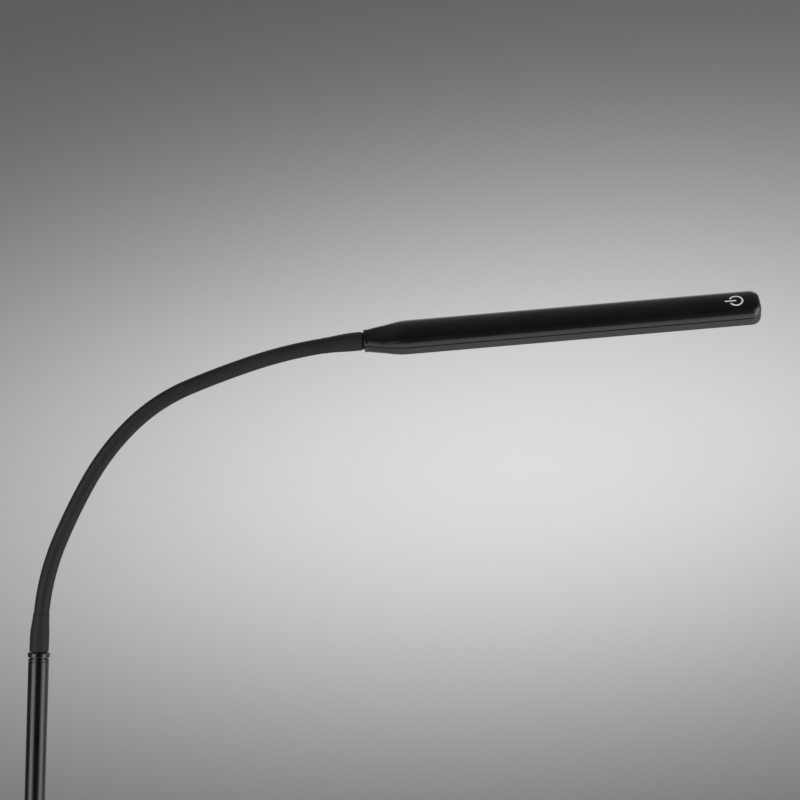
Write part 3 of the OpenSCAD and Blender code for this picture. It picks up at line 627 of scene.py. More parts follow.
def dress(finish: Finish, *nodes: str) -> None:
    """Gives nodes of the frame that stay as they are a better material.

    Args:
        finish: the finish.
        *nodes: the nodes' names.
    """
    for name in nodes:
        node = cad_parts[name]
        if not node.material_slots:
            node.data.materials.append(None)
        for slot in node.material_slots:
            slot.material = finish.material()
        LOG.info("%s: %s, carried over", name, finish.name)


# Geometry nodes

def socket_id(tree: Tree, label: str) -> str:
    """Finds the identifier of a tree's input.

    Args:
        tree: the tree.
        label: the input's name.

    Returns:
        The identifier.
    """
    for item in tree.interface.items_tree:
        if item.item_type == "SOCKET" and item.in_out == "INPUT" and item.name == label:
            return item.identifier
    raise KeyError(label)


def grow(name: str, carrier: Piece, tree: Tree, values: dict[str, object],
         crease_deg: float = 35.0) -> Piece:
    """Runs a geometry tree on a carrier mesh and keeps the result as a plain mesh.

    Args:
        name: the new object's name.
        carrier: the object whose mesh the tree reads, which is removed.
        tree: the geometry tree.
        values: the tree's inputs, by name.
        crease_deg: edges sharper than this stay sharp.

    Returns:
        The new object.
    """
    modifier = carrier.modifiers.new(tree.name, "NODES")
    modifier.node_group = tree
    for label, value in values.items():
        modifier[socket_id(tree, label)] = value
    bpy.context.view_layer.update()
    return as_plain(carrier, name, crease_deg)


def polyline(points: Places) -> Piece:
    """Makes a carrier mesh of points joined by edges.

    Args:
        points: the points, in order.

    Returns:
        The carrier object.
    """
    mesh = bpy.data.meshes.new("path_carrier")
    edges = [(k, k + 1) for k in range(len(points) - 1)]
    mesh.from_pydata([tuple(point) for point in points], edges, [])
    return add_object("path_carrier", mesh)


# Distance at which points are welded, in metres, and faces round the wire and the lead
WELD = 1e-6
WIRE_SIDES = 8
LEAD_SIDES = 24


class PathTrees:
    """Geometry trees for what follows a path and for what repeats, each built once."""

    def __init__(self) -> None:
        """Builds the three trees."""
        self.tube = self._make_tube()
        self.coil = self._make_coil()
        self.copies = self._make_copies()

    @staticmethod
    def _begin(name: str, sizes: dict[str, str]) -> tuple[Tree, Outputs]:
        """Starts a tree that takes a mesh, its own inputs and a finish.

        Args:
            name: the tree's name.
            sizes: socket kind of each of its own inputs, by name.

        Returns:
            The tree and what its inputs give.
        """
        kinds = {"Geometry": "Geometry", **sizes, "Finish": "Material"}
        return make_group(name, {label: (kind, None) for label, kind in kinds.items()},
                          {"Geometry": "Geometry"}, "GeometryNodeTree")

    @staticmethod
    def _end(tree: Tree, shape: Source, finish: Source) -> None:
        """Ends a tree in plain geometry with its material.

        Args:
            tree: the tree.
            shape: its shape.
            finish: the material.
        """
        plain = place(tree, "GeometryNodeRealizeInstances", {"Geometry": shape})
        dressed = place(tree, "GeometryNodeSetMaterial", {"Geometry": plain, "Material": finish})
        close_group(tree, {"Geometry": dressed})

    def _make_tube(self) -> Tree:
        """Makes the tree of a tube, or a solid rod where the wall is 0, along a path.

        Returns:
            The tree.
        """
        tree, given = self._begin(
            "tube_along_path", {"Segments": "Int", "Radius": "Float", "Wall": "Float"})
        path = place(tree, "GeometryNodeMeshToCurve", {"Mesh": given["Geometry"]})
        ring = place(tree, "GeometryNodeCurvePrimitiveCircle",
                     {"Resolution": given["Segments"], "Radius": 1.0})
        solid = place(tree, "FunctionNodeCompare",
                      {0: given["Wall"], 1: 0.0}, operation="LESS_EQUAL")
        skin = place(tree, "GeometryNodeCurveToMesh",
                     {"Curve": path, "Profile Curve": ring,
                      "Scale": given["Radius"], "Fill Caps": solid})
        inward = reckon(tree, "MULTIPLY", given["Wall"], -1.0)
        wall = place(tree, "GeometryNodeExtrudeMesh",
                     {"Mesh": skin, "Offset Scale": inward, "Individual": False}, mode="FACES")
        inside = place(tree, "GeometryNodeFlipFaces", {"Mesh": wall})
        both = place(tree, "GeometryNodeJoinGeometry")
        feed(tree, both, {0: inside})
        feed(tree, both, {0: skin})
        welded = place(tree, "GeometryNodeMergeByDistance", {"Geometry": both, "Distance": WELD})
        chosen = place(tree, "GeometryNodeSwitch",
                       {"Switch": solid, "False": welded, "True": skin}, input_type="GEOMETRY")
        self._end(tree, chosen, given["Finish"])
        return tree

    def _make_coil(self) -> Tree:
        """Makes the tree of a wire wound round a path that lies in a plane y = constant.

        Returns:
            The tree.
        """
        tree, given = self._begin("coil_along_path", {
            "Pitch": "Float", "Coil Radius": "Float", "Wire Radius": "Float",
            "Points per Turn": "Int", "Start": "Float"})
        path = place(tree, "GeometryNodeMeshToCurve", {"Mesh": given["Geometry"]})
        length = place(tree, "GeometryNodeCurveLength", {"Curve": path})
        turns = reckon(tree, "DIVIDE", length, given["Pitch"])
        points = reckon(tree, "MULTIPLY", turns, given["Points per Turn"])
        line = place(tree, "GeometryNodeMeshLine", {"Count": reckon(tree, "ADD", points, 1.0)})
        index = place(tree, "GeometryNodeInputIndex")
        share = reckon(tree, "DIVIDE", index, reckon(tree, "FLOOR", points))
        along = reckon(tree, "MULTIPLY", length, share)
        spot = place(tree, "GeometryNodeSampleCurve",
                     {"Curves": path, "Length": along}, mode="LENGTH")
        phase = reckon(tree, "DIVIDE", reckon(tree, "ADD", along, given["Start"]), given["Pitch"])
        angle = reckon(tree, "MULTIPLY", phase, 2 * pi)
        side = reckon_3d(tree, "CROSS_PRODUCT", spot.outputs["Tangent"], (0.0, 1.0, 0.0))
        reach_in = reckon_3d(tree, "SCALE", side, Scale=reckon(tree, "COSINE", angle))
        across = place(tree, "ShaderNodeCombineXYZ", {"Y": reckon(tree, "SINE", angle)})
        unit = reckon_3d(tree, "ADD", reach_in, across)
        offset = reckon_3d(tree, "SCALE", unit, Scale=given["Coil Radius"])
        moved = place(tree, "GeometryNodeSetPosition",
                      {"Geometry": line, "Position": spot.outputs["Position"], "Offset": offset})
        helix = place(tree, "GeometryNodeMeshToCurve", {"Mesh": moved})
        ring = place(tree, "GeometryNodeCurvePrimitiveCircle",
                     {"Resolution": WIRE_SIDES, "Radius": given["Wire Radius"]})
        wire = place(tree, "GeometryNodeCurveToMesh",
                     {"Curve": helix, "Profile Curve": ring, "Fill Caps": True})
        self._end(tree, wire, given["Finish"])
        return tree

    def _make_copies(self) -> Tree:
        """Makes the tree that puts a copy of a template on each point of the carrier.

        Returns:
            The tree.
        """
        tree, given = self._begin("copies_on_points", {"Template": "Object"})
        template = place(tree, "GeometryNodeObjectInfo", {"Object": given["Template"]})
        placed = place(tree, "GeometryNodeInstanceOnPoints",
                       {"Points": given["Geometry"], "Instance": template.outputs["Geometry"]})
        self._end(tree, placed, given["Finish"])
        return tree


TREES = PathTrees()


def tube(name: str, points: Places, radius: float, wall: float, finish: Finish,
         segments: int = 48) -> Piece:
    """Makes a tube or rod along a path with the tube tree.

    Args:
        name: the object's name.
        points: the path, in metres.
        radius: outer radius, in mm.
        wall: wall thickness in mm, 0 for a solid rod.
        finish: the finish.
        segments: faces round the tube.

    Returns:
        The new object.
    """
    return grow(name, polyline(points), TREES.tube,
                {"Segments": segments, "Radius": radius * MM, "Wall": wall * MM,
                 "Finish": finish.material()}, crease_deg=50.0)


def copies(name: str, template: Piece, points: Places, finish: Finish) -> Piece:
    """Puts a copy of a template on each point with the copies tree, and removes the template.

    Args:
        name: the object's name.
        template: the shape to copy, drawn round the origin.
        points: where the copies go, in metres.
        finish: the finish.

    Returns:
        One object with all the copies.
    """
    result = grow(name, polyline(points), TREES.copies,
                  {"Template": template, "Finish": finish.material()})
    bpy.data.objects.remove(template)
    return result


# The lamp's frames


@dataclass(frozen=True)
class NeckPath:
    """Centreline of the gooseneck at rest: arcs joined end to end in the plane y = 0.

    Attributes:
        foot_z: height of its foot.
        root_l: length of the first arc.
        link_l: length of each arc between the ends.
        tip_l: length of the last arc.
        turns: turn of each arc, in degrees.
        step: about how far apart the points on it lie.
    """

    foot_z: float = 1094.6
    root_l: float = 34.0
    link_l: float = 53.0
    tip_l: float = 34.0
    turns: tuple[float, ...] = (5.0, 16.0, 7.0, 16.0, 21.5, 4.5, 9.0, 4.5)
    step: float = 2.0

    def arc_l(self, k: int) -> float:
        """Returns the length of arc k, in mm."""
        last = len(self.turns) - 1
        return self.root_l if k == 0 else self.tip_l if k == last else self.link_l

    def knuckle(self, k: int) -> float:
        """Returns the distance along the neck at which arc k begins, in mm."""
        return sum(self.arc_l(n) for n in range(k))

    def middle(self, k: int) -> float:
        """Returns the distance along the neck of the middle of arc k, in mm."""
        return self.knuckle(k) + self.arc_l(k) / 2

    def frame_at(self, along: float) -> Matrix:
        """Finds the frame at a distance along the neck; beyond its ends the path runs straight.

        Args:
            along: the distance from the neck's foot, in metres.

        Returns:
            The frame, with +Z along the neck and +Y to the back of the lamp.
        """
        rest = along / MM
        x, z, heading = 0.0, self.foot_z, 0.0
        if rest > 0:
            for k, turn_deg in enumerate(self.turns):
                turn = radians(turn_deg)
                run = min(rest, self.arc_l(k))
                radius = self.arc_l(k) / turn
                after = heading + run / radius
                x += radius * (cos(heading) - cos(after))
                z += radius * (sin(after) - sin(heading))
                heading = after
                rest -= run
                if rest <= 0:
                    break
        x += max(rest, 0.0) * sin(heading)
        z += max(rest, 0.0) * cos(heading) + min(along / MM, 0.0)
        return Matrix.Translation((x * MM, 0.0, z * MM)) @ Matrix.Rotation(heading, 4, "Y")

    def points(self, start: float, end: float) -> list[Vector]:
        """Lists points on the centreline, about as far apart as the path's step.

        Args:
            start: where to begin, in mm along the neck.
            end: where to stop, in mm.

        Returns:
            The points, in metres, evenly spaced.
        """
        count = max(2, round((end - start) / self.step))
        return [self.frame_at(mix(start, end, n / count) * MM).to_translation()
                for n in range(count + 1)]


NECK = NeckPath()
NECK_L = sum(NECK.arc_l(k) for k in range(len(NECK.turns)))
LAST_JOINT = len(NECK.turns) - 1
HEAD_ROLL_DEG = 45.0
SWIVEL_FRAME = NECK.frame_at(NECK_L * MM)
HEAD_FRAME = (SWIVEL_FRAME @ Matrix.Rotation(radians(-90.0), 4, "Y")
              @ Matrix.Rotation(radians(HEAD_ROLL_DEG), 4, "X"))
HEAD_TURN = HEAD_FRAME.to_3x3().to_4x4()


def beyond_neck(along: float) -> Matrix:
    """Returns the frame at a distance along the swivel's axis, from the collar's face."""
    return SWIVEL_FRAME @ Matrix.Translation((0.0, 0.0, along))


def on_head(x: float, y: float, z: float) -> Vector:
    """Returns a place given in the head's own frame, in mm, as a place in the lamp's frame."""
    return HEAD_FRAME @ Vector((x * MM, y * MM, z * MM))


# Base and pole

@dataclass(frozen=True)
class Base:
    """Weighted base: pressed cover, foam pad and what they hide.

    Attributes:
        radius: outer radius of the cover.
        height: height of the cover's top.
        wall: thickness of the cover's sheet.
        edge_r: radius of the cover's top edge.
        lift: gap between the cover's rim and the floor.
        pad_r: radius of the foam pad.
        pad_t: thickness of the foam pad.
        hole_r: radius of the stud's hole in the cover.
        rim_r: rounding of the cover's and the pad's outer edges.
        lip_r: rounding of the hole's edges and of the pad's upper edge.
        screw_ring: radius of the circle that the plate's screws lie on.
        screw_z: height of their heads.
        screw_angles: where they lie on that circle, in degrees.
        screw: height, radius and rounding of each corner of a screw's outline.
    """

    radius: float = 120.0
    height: float = 22.0
    wall: float = 1.5
    edge_r: float = 5.0
    lift: float = 1.0
    pad_r: float = 112.5
    pad_t: float = 2.0
    hole_r: float = 5.2
    rim_r: float = 0.5
    lip_r: float = 0.3
    screw_ring: float = 92.0
    screw_z: float = 2.1
    screw_angles: tuple[float, ...] = (45.0, 135.0, 225.0, 315.0)
    screw: tuple[Corner, ...] = (
        (0.35, 0.0, 0), (0.35, 0.8, 0.1), (0.0, 1.1, 0.1), (0.0, 3.7, 0.15), (1.3, 2.0, 0),
        (8.4, 2.0, 0.3), (9.0, 1.2, 0), (9.0, 0.0, 0))

    def build(self) -> None:
        """Builds the cover, the pad and the screws, and dresses the pieces inside."""
        under = self.height - self.wall
        inner_r = self.radius - self.wall
        cover = turned("cover_pressing", [
            (self.lift, self.radius, self.rim_r), (self.height, self.radius, self.edge_r),
            (self.height, self.hole_r, self.lip_r), (under, self.hole_r, self.lip_r),
            (under, inner_r, self.edge_r - self.wall), (self.lift, inner_r, self.rim_r)],
            upright, 256, steps=8)
        settle(cover, SATIN_PAINT, "stand", "base_cover")
        pad = turned("foam_pad", [
            (0.0, 0.0, 0), (0.0, self.pad_r, self.rim_r), (self.pad_t, self.pad_r, self.lip_r),
            (self.pad_t, 0.0, 0)], upright, 160)
        settle(pad, FOAM, "stand", "base_pad")
        dress(ZINC, "base_plate", "stud_washer", "stud_nut", "inlet_nut")
        dress(CAST_IRON, "base_weight")
        template = turned("plate_screw_shape", self.screw, upright, 32, steps=3)
        spots = [Vector((self.screw_ring * cos(a), self.screw_ring * sin(a),
                         self.screw_z)) * MM for a in map(radians, self.screw_angles)]
        settle(copies("bottom_screws", template, spots, ZINC), ZINC, "stand", "plate_screws")


@dataclass(frozen=True)
class Inlet:
    """Low-voltage inlet in the back of the base.

    Attributes:
        face_x: where the cover's side wall is.
        z: height of the inlet's axis.
        socket_l: how far the socket stands out of the cover.
        flange_r: radius of the flange.
        flange_t: thickness of the flange.
        mouth_r: radius at the socket's mouth.
        bore_r: radius of the plug's bore.
        bore_l: depth of the bore.
        barrel_r: radius of the barrel inside the base.
        barrel_l: length of that barrel.
        foot_r: radius of the pin's foot.
        foot_l: length of that foot.
        pin_r: radius of the pin.
        pin_top: how far the pin's end stands out of the cover.
        step: height and width of the slope from the flange to the socket.
        seat: depth that the flange is let into the cover.
        play: gap round the pin's foot.
    """

    face_x: float = -120.0
    z: float = 10.0
    socket_l: float = 12.5
    flange_r: float = 7.0
    flange_t: float = 1.6
    mouth_r: float = 5.4
    bore_r: float = 2.8
    bore_l: float = 10.0
    barrel_r: float = 4.0
    barrel_l: float = 15.0
    foot_r: float = 1.4
    foot_l: float = 2.0
    pin_r: float = 1.0
    pin_top: float = 11.7
    step: Pair = (0.4, 0.6)
    seat: float = 0.25
    play: float = 0.02

    def frame_at(self, along: float) -> Matrix:
        """Returns the frame at a distance out of the cover, +Z out of the mouth."""
        return (Matrix.Translation((self.face_x * MM, 0.0, self.z * MM))
                @ Matrix.Rotation(radians(-90.0), 4, "Y")
                @ Matrix.Translation((0.0, 0.0, along)))

    def build(self) -> None:
        """Builds the socket and its pin."""
        bore_z = self.socket_l - self.bore_l
        foot_z = bore_z - self.foot_l
        rise, narrowing = self.step
        socket = turned("inlet_socket", [
            (-self.barrel_l, 0.0, 0), (-self.barrel_l, self.barrel_r, 0.3),
            (-self.seat, self.barrel_r, 0), (-self.seat, self.flange_r, 0.2),
            (self.flange_t, self.flange_r, 0.5),
            (self.flange_t + rise, self.flange_r - narrowing, 0.3),
            (self.socket_l, self.mouth_r, 0.8), (self.socket_l, self.bore_r, 0.4),
            (bore_z, self.bore_r, 0), (bore_z, self.foot_r, 0), (foot_z, self.foot_r, 0),
            (foot_z, 0.0, 0)], self.frame_at, 72, steps=6)
        settle(socket, MOULDED, "stand", "power_inlet")
        foot_r = self.foot_r - self.play
        pin = turned("inlet_contact", [
            (foot_z, 0.0, 0), (foot_z, foot_r, 0), (bore_z, foot_r, 0.2),
            (bore_z, self.pin_r, 0), (self.pin_top, self.pin_r, 0.5), (self.pin_top, 0.0, 0)],
            self.frame_at, 32)
        settle(pin, NICKEL, "stand", "inlet_pin")


@dataclass(frozen=True)
class Pole:
    """Foot flange, three screwed tube sections and the turned collar that carries the neck.

    Attributes:
        radius: outer radius of the tube.
        wall: its wall.
        foot_z: height of the lowest section's end.
        section_l: length of one section.
        joint_r: rounding of each section's end edges.
        flange_r: radius of the foot flange.
        flange_h: height of the foot flange.
        cover_z: height of the base cover's top.
        groove_r: radius at the bottom of the collar's groove.
        bead_r: radius of the collar's bead.
        tube_extra: how far the top section stands past its CAD length.
        joint_gap: height of the shadow line between tube and collar.
        ring_h: height of the plain ring above it.
        ring_top: height of the slope from the ring to the groove.
        groove_h: height of the groove.
        bead_foot: height of the slope from the groove to the bead.
        bead_h: height of the bead.
        bead_edge: rounding of the bead's upper edge.
        seat_r: radius of the seat for the neck's core.
        seat_l: depth of that seat.
        lead_hole_r: radius of the lead's hole in the collar.
        plug_l: how far the collar reaches into the tube.
        stud_hole_r: radius of the stud's hole in the flange.
        play: gap between the flange's boss and the tube.
        plug_play: gap between the collar's plug and the tube.
        flange_rim: height of the flange's rim.
        flange_step: height of the slope over the rim.
        flange_foot: width of the hollow from the slope to the boss.
        boss_wall: wall of the flange's boss.
    """

    radius: float = 8.0
    wall: float = 1.2
    foot_z: float = 24.0
    section_l: float = 354.0
    joint_r: float = 0.35
    flange_r: float = 23.0
    flange_h: float = 9.0
    cover_z: float = 22.0
    groove_r: float = 7.1
    bead_r: float = 8.55
    tube_extra: float = 1.6
    joint_gap: float = 0.4
    ring_h: float = 1.6
    ring_top: float = 0.3
    groove_h: float = 0.75
    bead_foot: float = 0.35
    bead_h: float = 3.35
    bead_edge: float = 0.6
    seat_r: float = 4.75
    seat_l: float = 15.0
    lead_hole_r: float = 3.0
    plug_l: float = 24.0
    stud_hole_r: float = 5.2
    play: float = 0.05
    plug_play: float = 0.02
    flange_rim: float = 1.6
    flange_step: float = 0.5
    flange_foot: float = 4.2
    boss_wall: float = 2.5

    def build(self) -> None:
        """Builds the flange, the sections and the collar, and dresses the pieces inside."""
        self._add_flange()
        bore = self.radius - self.wall
        for k, node in enumerate(("pole_lower", "pole_middle", "pole_upper")):
            low = self.foot_z + k * self.section_l
            high = low + self.section_l + (self.tube_extra if node == "pole_upper" else 0.0)
            section = turned(node.replace("pole", "tube"), [
                (low, bore, 0), (low, self.radius, self.joint_r),
                (high, self.radius, self.joint_r), (high, bore, 0)], upright, 128)
            settle(section, SATIN_PAINT, "stand", node)
        self._add_collar()
        dress(ZINC, "foot_stud", "foot_bush", "joint_bushes", "joint_studs")

    def _add_flange(self) -> None:
        """Builds the foot flange: a thin rim that hollows up to a boss."""
        boss_r = self.radius + self.boss_wall
        rim_z = self.cover_z + self.flange_rim
        top_z = self.cover_z + self.flange_h
        hole_r = self.radius + self.play
        flange = turned("foot_turning", [
            (self.cover_z, self.stud_hole_r, 0), (self.cover_z, self.flange_r, 0.2),
            (rim_z, self.flange_r, 0.7),
            (rim_z + self.flange_step, boss_r + self.flange_foot, 5.0),
            (top_z, boss_r, 0.8), (top_z, hole_r, 0.4), (self.foot_z, hole_r, 0),
            (self.foot_z, self.stud_hole_r, 0)], upright, 128, steps=8)
        settle(flange, SATIN_PAINT, "stand", "foot_flange")

    def _add_collar(self) -> None:
        """Builds the turned collar: ring, groove and bead."""
        top_z = self.foot_z + 3 * self.section_l + self.tube_extra
        ring_z = top_z + self.joint_gap
        ring_end = ring_z + self.ring_h
        groove_z = ring_end + self.ring_top
        foot_z = groove_z + self.groove_h
        bead_z = foot_z + self.bead_foot
        end_z = bead_z + self.bead_h
        plug_r = self.radius - self.wall - self.plug_play
        collar = turned("collar_turning", [
            (top_z - self.plug_l, self.lead_hole_r, 0), (top_z - self.plug_l, plug_r, 0.3),
            (ring_z, plug_r, 0), (ring_z, self.radius, 0.2), (ring_end, self.radius, 0.2),
            (groove_z, self.groove_r, 0.1), (foot_z, self.groove_r, 0.1),
            (bead_z, self.bead_r, 0.3), (end_z, self.bead_r, self.bead_edge),
            (end_z, self.seat_r, 0.3), (end_z - self.seat_l, self.seat_r, 0),
            (end_z - self.seat_l, self.lead_hole_r, 0)], upright, 128, steps=6)
        settle(collar, SATIN_PAINT, "stand", "neck_collar")


# Gooseneck

@dataclass(frozen=True)
class Boot:
    """Rubber boot at one end of the neck.

    Attributes:
        wide_r: radius at its wide end.
        narrow_r: radius at its narrow end.
        land: length of its straight land.
        length: its length.
        edge: rounding of its wide end.
        lip: rounding of its narrow end.
        edge_steps: straight pieces in its wide end's rounding.
        taper_steps: straight pieces in its taper.
        lip_steps: straight pieces in its narrow end's rounding.
    """

    wide_r: float
    narrow_r: float
    land: float
    length: float
    edge: float = 1.0
    lip: float = 0.9
    edge_steps: int = 6
    taper_steps: int = 14
    lip_steps: int = 5

    def outline(self, thin_r: float) -> Outline:
        """Draws the boot's outer side: a straight land, then a gentle taper.

        Args:
            thin_r: radius at the end of the lip, in mm.

        Returns:
            Distance from the wide end and radius of each point.
        """
        points = [(self.edge * (1 - cos(t)), self.wide_r - self.edge * (1 - sin(t)))
                  for t in (radians(90 / self.edge_steps * n)
                            for n in range(self.edge_steps + 1))]
        for n in range(self.taper_steps + 1):
            share = n / self.taper_steps
            points.append((mix(self.land, self.length - self.lip, share),
                           mix(self.wide_r, self.narrow_r, ease(share))))
        for n in range(1, self.lip_steps + 1):
            t = radians(90 / self.lip_steps * n)
            points.append((self.length - self.lip * (1 - sin(t)),
                           mix(thin_r, self.narrow_r, cos(t))))
        return points


@dataclass(frozen=True)
class Gooseneck:
    """Rubber skin over a wound steel core and a lead, with a boot at each end.

    The neck bends at seven joints, so each layer is made of seven pieces. Piece k reaches from
    the middle of arc k - 1 to the middle of arc k.

    Attributes:
        skin_r: outer radius of the skin.
        skin_wall: its wall.
        wire_r: radius of the core's wire.
        pitch: how far apart the core's turns lie.
        turn_points: points in each turn of the core.
        lead_r: radius of the lead.
        first_turn: where the first piece's turn would start, along the neck.
        last_turn: where the last piece's turn would end, before the stiff shank.
        skin_end: where the skin ends on the shank.
        core_end: where the core ends inside the shank.
        lead_end: where the lead ends in the head.
        foot_gap: gap between the collar and the lower boot.
        head_gap: gap between the upper boot and the end of the neck.
        core_play: gap between the core and the skin.
        boot_play: gap between the skin and a boot.
        lip_step: how far a boot's lip stands off the skin.
        shank_play: gap between the upper boot and the shank.
        lower_boot: the boot on the pole's collar.
        upper_boot: the boot behind the head.
    """

    skin_r: float = 5.9
    skin_wall: float = 1.2
    wire_r: float = 0.8
    pitch: float = 1.66
    turn_points: int = 14
    lead_r: float = 1.6
    first_turn: float = 8.0
    last_turn: float = 370.0
    skin_end: float = 367.8
    core_end: float = 381.5
    lead_end: float = 402.6
    foot_gap: float = 0.3
    head_gap: float = 1.4
    core_play: float = 0.05
    boot_play: float = 0.04
    lip_step: float = 0.12
    shank_play: float = 0.2
    lower_boot: Boot = Boot(7.4, 6.3, 12.0, 29.5)
    upper_boot: Boot = Boot(7.2, 6.05, 6.0, 30.6)

    def build(self) -> None:
        """Builds the seven pieces of each layer, and the boots."""
        for k in range(1, LAST_JOINT + 1):
            start = 0.0 if k == 1 else NECK.middle(k - 1)
            ends = (NECK.middle(k),) * 3
            if k == LAST_JOINT:
                ends = (self.skin_end, self.core_end, self.lead_end)
            self._add_layers(k, start, ends)
        self._add_boots()

    def _turn(self, piece: Piece, k: int) -> None:
        """Bakes a piece's place into its mesh; where its turn at joint k would start and end is
        worked out but not used.

        Args:
            piece: the piece.
            k: number of the joint, 1 at the foot.
        """
        start = self.first_turn if k == 1 else NECK.middle(k - 1)
        end = self.last_turn if k == LAST_JOINT else NECK.middle(k)
        NECK.frame_at(start * MM).to_translation()
        NECK.frame_at(end * MM).to_translation()
        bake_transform(piece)

    def _add_layers(self, k: int, start: float, ends: Triple) -> None:
        """Adds piece k of the skin, the wound core and the lead.

        Args:
            k: number of the joint that they bend at.
            start: where they begin, in mm along the neck; the core's turns run on from it.
            ends: where the skin, the core and the lead end.
        """
        links = range(1, LAST_JOINT)
        skin_path, core_path, lead_path = (NECK.points(start, end) for end in ends)
        skin = tube(f"neck_skin_{k}", skin_path, self.skin_r, self.skin_wall, NECK_RUBBER)
        nodes = [f"sleeve_{n}" for n in (k - 1, k) if n in links]
        self._turn(settle(skin, NECK_RUBBER, None, *nodes), k)
        coil_r = self.skin_r - self.skin_wall - self.wire_r - self.core_play
        values = {"Pitch": self.pitch * MM, "Wire Radius": self.wire_r * MM,
                  "Coil Radius": coil_r * MM, "Points per Turn": self.turn_points,
                  "Start": start * MM, "Finish": CORE_STEEL.material()}
        core = grow(f"neck_core_{k}", polyline(core_path), TREES.coil, values, crease_deg=80.0)
        nodes = ["core_root", *(f"core_{n}" for n in links), "core_tip"]
        self._turn(settle(core, CORE_STEEL, None, *nodes[k - 1:k + 1]), k)
        lead = tube(f"neck_lead_{k}", lead_path, self.lead_r, 0.0, JACKET, LEAD_SIDES)
        nodes = ["power_lead", *(f"lead_{n}" for n in links), "tip_lead"]
        self._turn(settle(lead, JACKET, None, *nodes[k - 1:k + 1]), k)

    def _add_boots(self) -> None:
        """Builds the boot at each end of the neck."""
        bore = self.skin_r + self.boot_play
        thin_r = self.skin_r + self.lip_step
        low, high = self.foot_gap, NECK_L - self.head_gap
        outer = [(low + along, radius) for along, radius in self.lower_boot.outline(thin_r)]
        lower = revolve("foot_boot", [(low, bore), *outer, (low + self.lower_boot.length, bore)],
                        NECK.frame_at)
        self._turn(settle(lower, NECK_RUBBER, None, "lower_boot"), 1)
        outer = [(high - along, radius) for along, radius in self.upper_boot.outline(thin_r)]
        shank_r = self.skin_r + self.shank_play
        step = self.skin_end + self.shank_play
        upper = revolve("head_boot", [
            (high, shank_r), *outer, (high - self.upper_boot.length, bore), (step, bore),
            (step, shank_r)], NECK.frame_at)
        self._turn(settle(upper, NECK_RUBBER, None, "upper_boot"), LAST_JOINT)


@dataclass(frozen=True)
class Lead:
    """Lead from the inlet through the weight and up the pole to the neck's foot.

    Attributes:
        radius: radius of the lead.
        route: corners of its route.
        bend: rounding of the route's corners.
    """

    radius: float = 1.6
    route: tuple[Pair, ...] = (
        (-101.8, 10.0), (-98.8, 10.0), (-89.8, 5.4), (-2.0, 5.4), (0.0, 9.4), (0.0, 1094.6))
    bend: float = 2.0

    def build(self) -> None:
        """Builds the lead as one rod along its route."""
        last = len(self.route) - 1
        corners = [(x, z, 0.0 if k in (0, last) else self.bend)
                   for k, (x, z) in enumerate(self.route)]
        points = [Vector((x, 0.0, z)) * MM for x, z in rounded(corners)]
        lead = tube("stand_lead", points, self.radius, 0.0, JACKET, LEAD_SIDES)
        settle(lead, JACKET, "stand", "power_lead")


@dataclass(frozen=True)
class Swivel:
    """Journal on the end of the neck that the head turns on.

    Attributes:
        shank_r: radius of the shank inside the upper boot.
        shank_l: its length.
        journal_r: radius of the journal.
        shoulder: where the shank ends, from the collar's face.
        core_r: radius of the seat for the neck's core.
        core_depth: depth of that seat.
        washer_x: where the thrust washer's flange begins.
        washer_t: thickness of that flange.
        washer_r: its radius.
        journal_end: where the journal ends.
        thread_r: radius of the thread beyond it.
        thread_end: where the thread ends.
        bore_r: radius of the lead's bore.
        nut_x: where the end nut begins.
        nut_t: its thickness.
        nut_r: its radius.
        play: gap round the journal and the thread.
        cup_play: gap between the washer's cup and the shank.
    """

    shank_r: float = 5.9
    shank_l: float = 18.0
    journal_r: float = 3.9
    shoulder: float = -0.95
    core_r: float = 4.75
    core_depth: float = 14.0
    washer_x: float = -1.35
    washer_t: float = 1.25
    washer_r: float = 6.7
    journal_end: float = 13.55
    thread_r: float = 3.4
    thread_end: float = 16.7
    bore_r: float = 2.0
    nut_x: float = 13.7
    nut_t: float = 2.6
    nut_r: float = 4.4
    play: float = 0.05
    cup_play: float = 0.1

    def build(self) -> None:
        """Builds the journal, the thrust washer and the end nut."""
        seat_end = self.core_depth - self.shank_l
        journal = turned("journal_turning", [
            (-self.shank_l, self.core_r, 0), (-self.shank_l, self.shank_r, 0.2),
            (self.shoulder, self.shank_r, 0.15), (self.shoulder, self.journal_r, 0),
            (self.journal_end, self.journal_r, 0.3), (self.journal_end, self.thread_r, 0),
            (self.thread_end, self.thread_r, 0.4), (self.thread_end, self.bore_r, 0.2),
            (seat_end, self.bore_r, 0), (seat_end, self.core_r, 0)], beyond_neck, 80)
        # The journal's near-black steel is painted shade for the gap in front of the head.
        settle(journal, PAINTED_SHADE_STEEL, "neck_tip", "swivel_journal")
        washer_end = self.washer_x + self.washer_t
        hole_r = self.journal_r + self.play
        cup_r = self.shank_r + self.cup_play
        washer = turned("acetal_washer", [
            (self.shoulder, hole_r, 0), (self.shoulder, cup_r, 0), (self.washer_x, cup_r, 0.1),
            (self.washer_x, self.washer_r, 0.2), (washer_end, self.washer_r, 0.2),
            (washer_end, hole_r, 0.1)], beyond_neck, 80, steps=3)
        # The washer's near-black colour is painted shade for the gap in front of the head.
        settle(washer, PAINTED_SHADE_ACETAL, "neck_tip", "thrust_washer")
        nut_end = self.nut_x + self.nut_t
        tapped_r = self.thread_r + self.play
        nut = turned("brass_nut", [
            (self.nut_x, tapped_r, 0.2), (self.nut_x, self.nut_r, 0.3),
            (nut_end, self.nut_r, 0.3), (nut_end, tapped_r, 0.2)], beyond_neck, 48, steps=3)
        settle(nut, BRASS, "neck_tip", "end_nut")


# Head

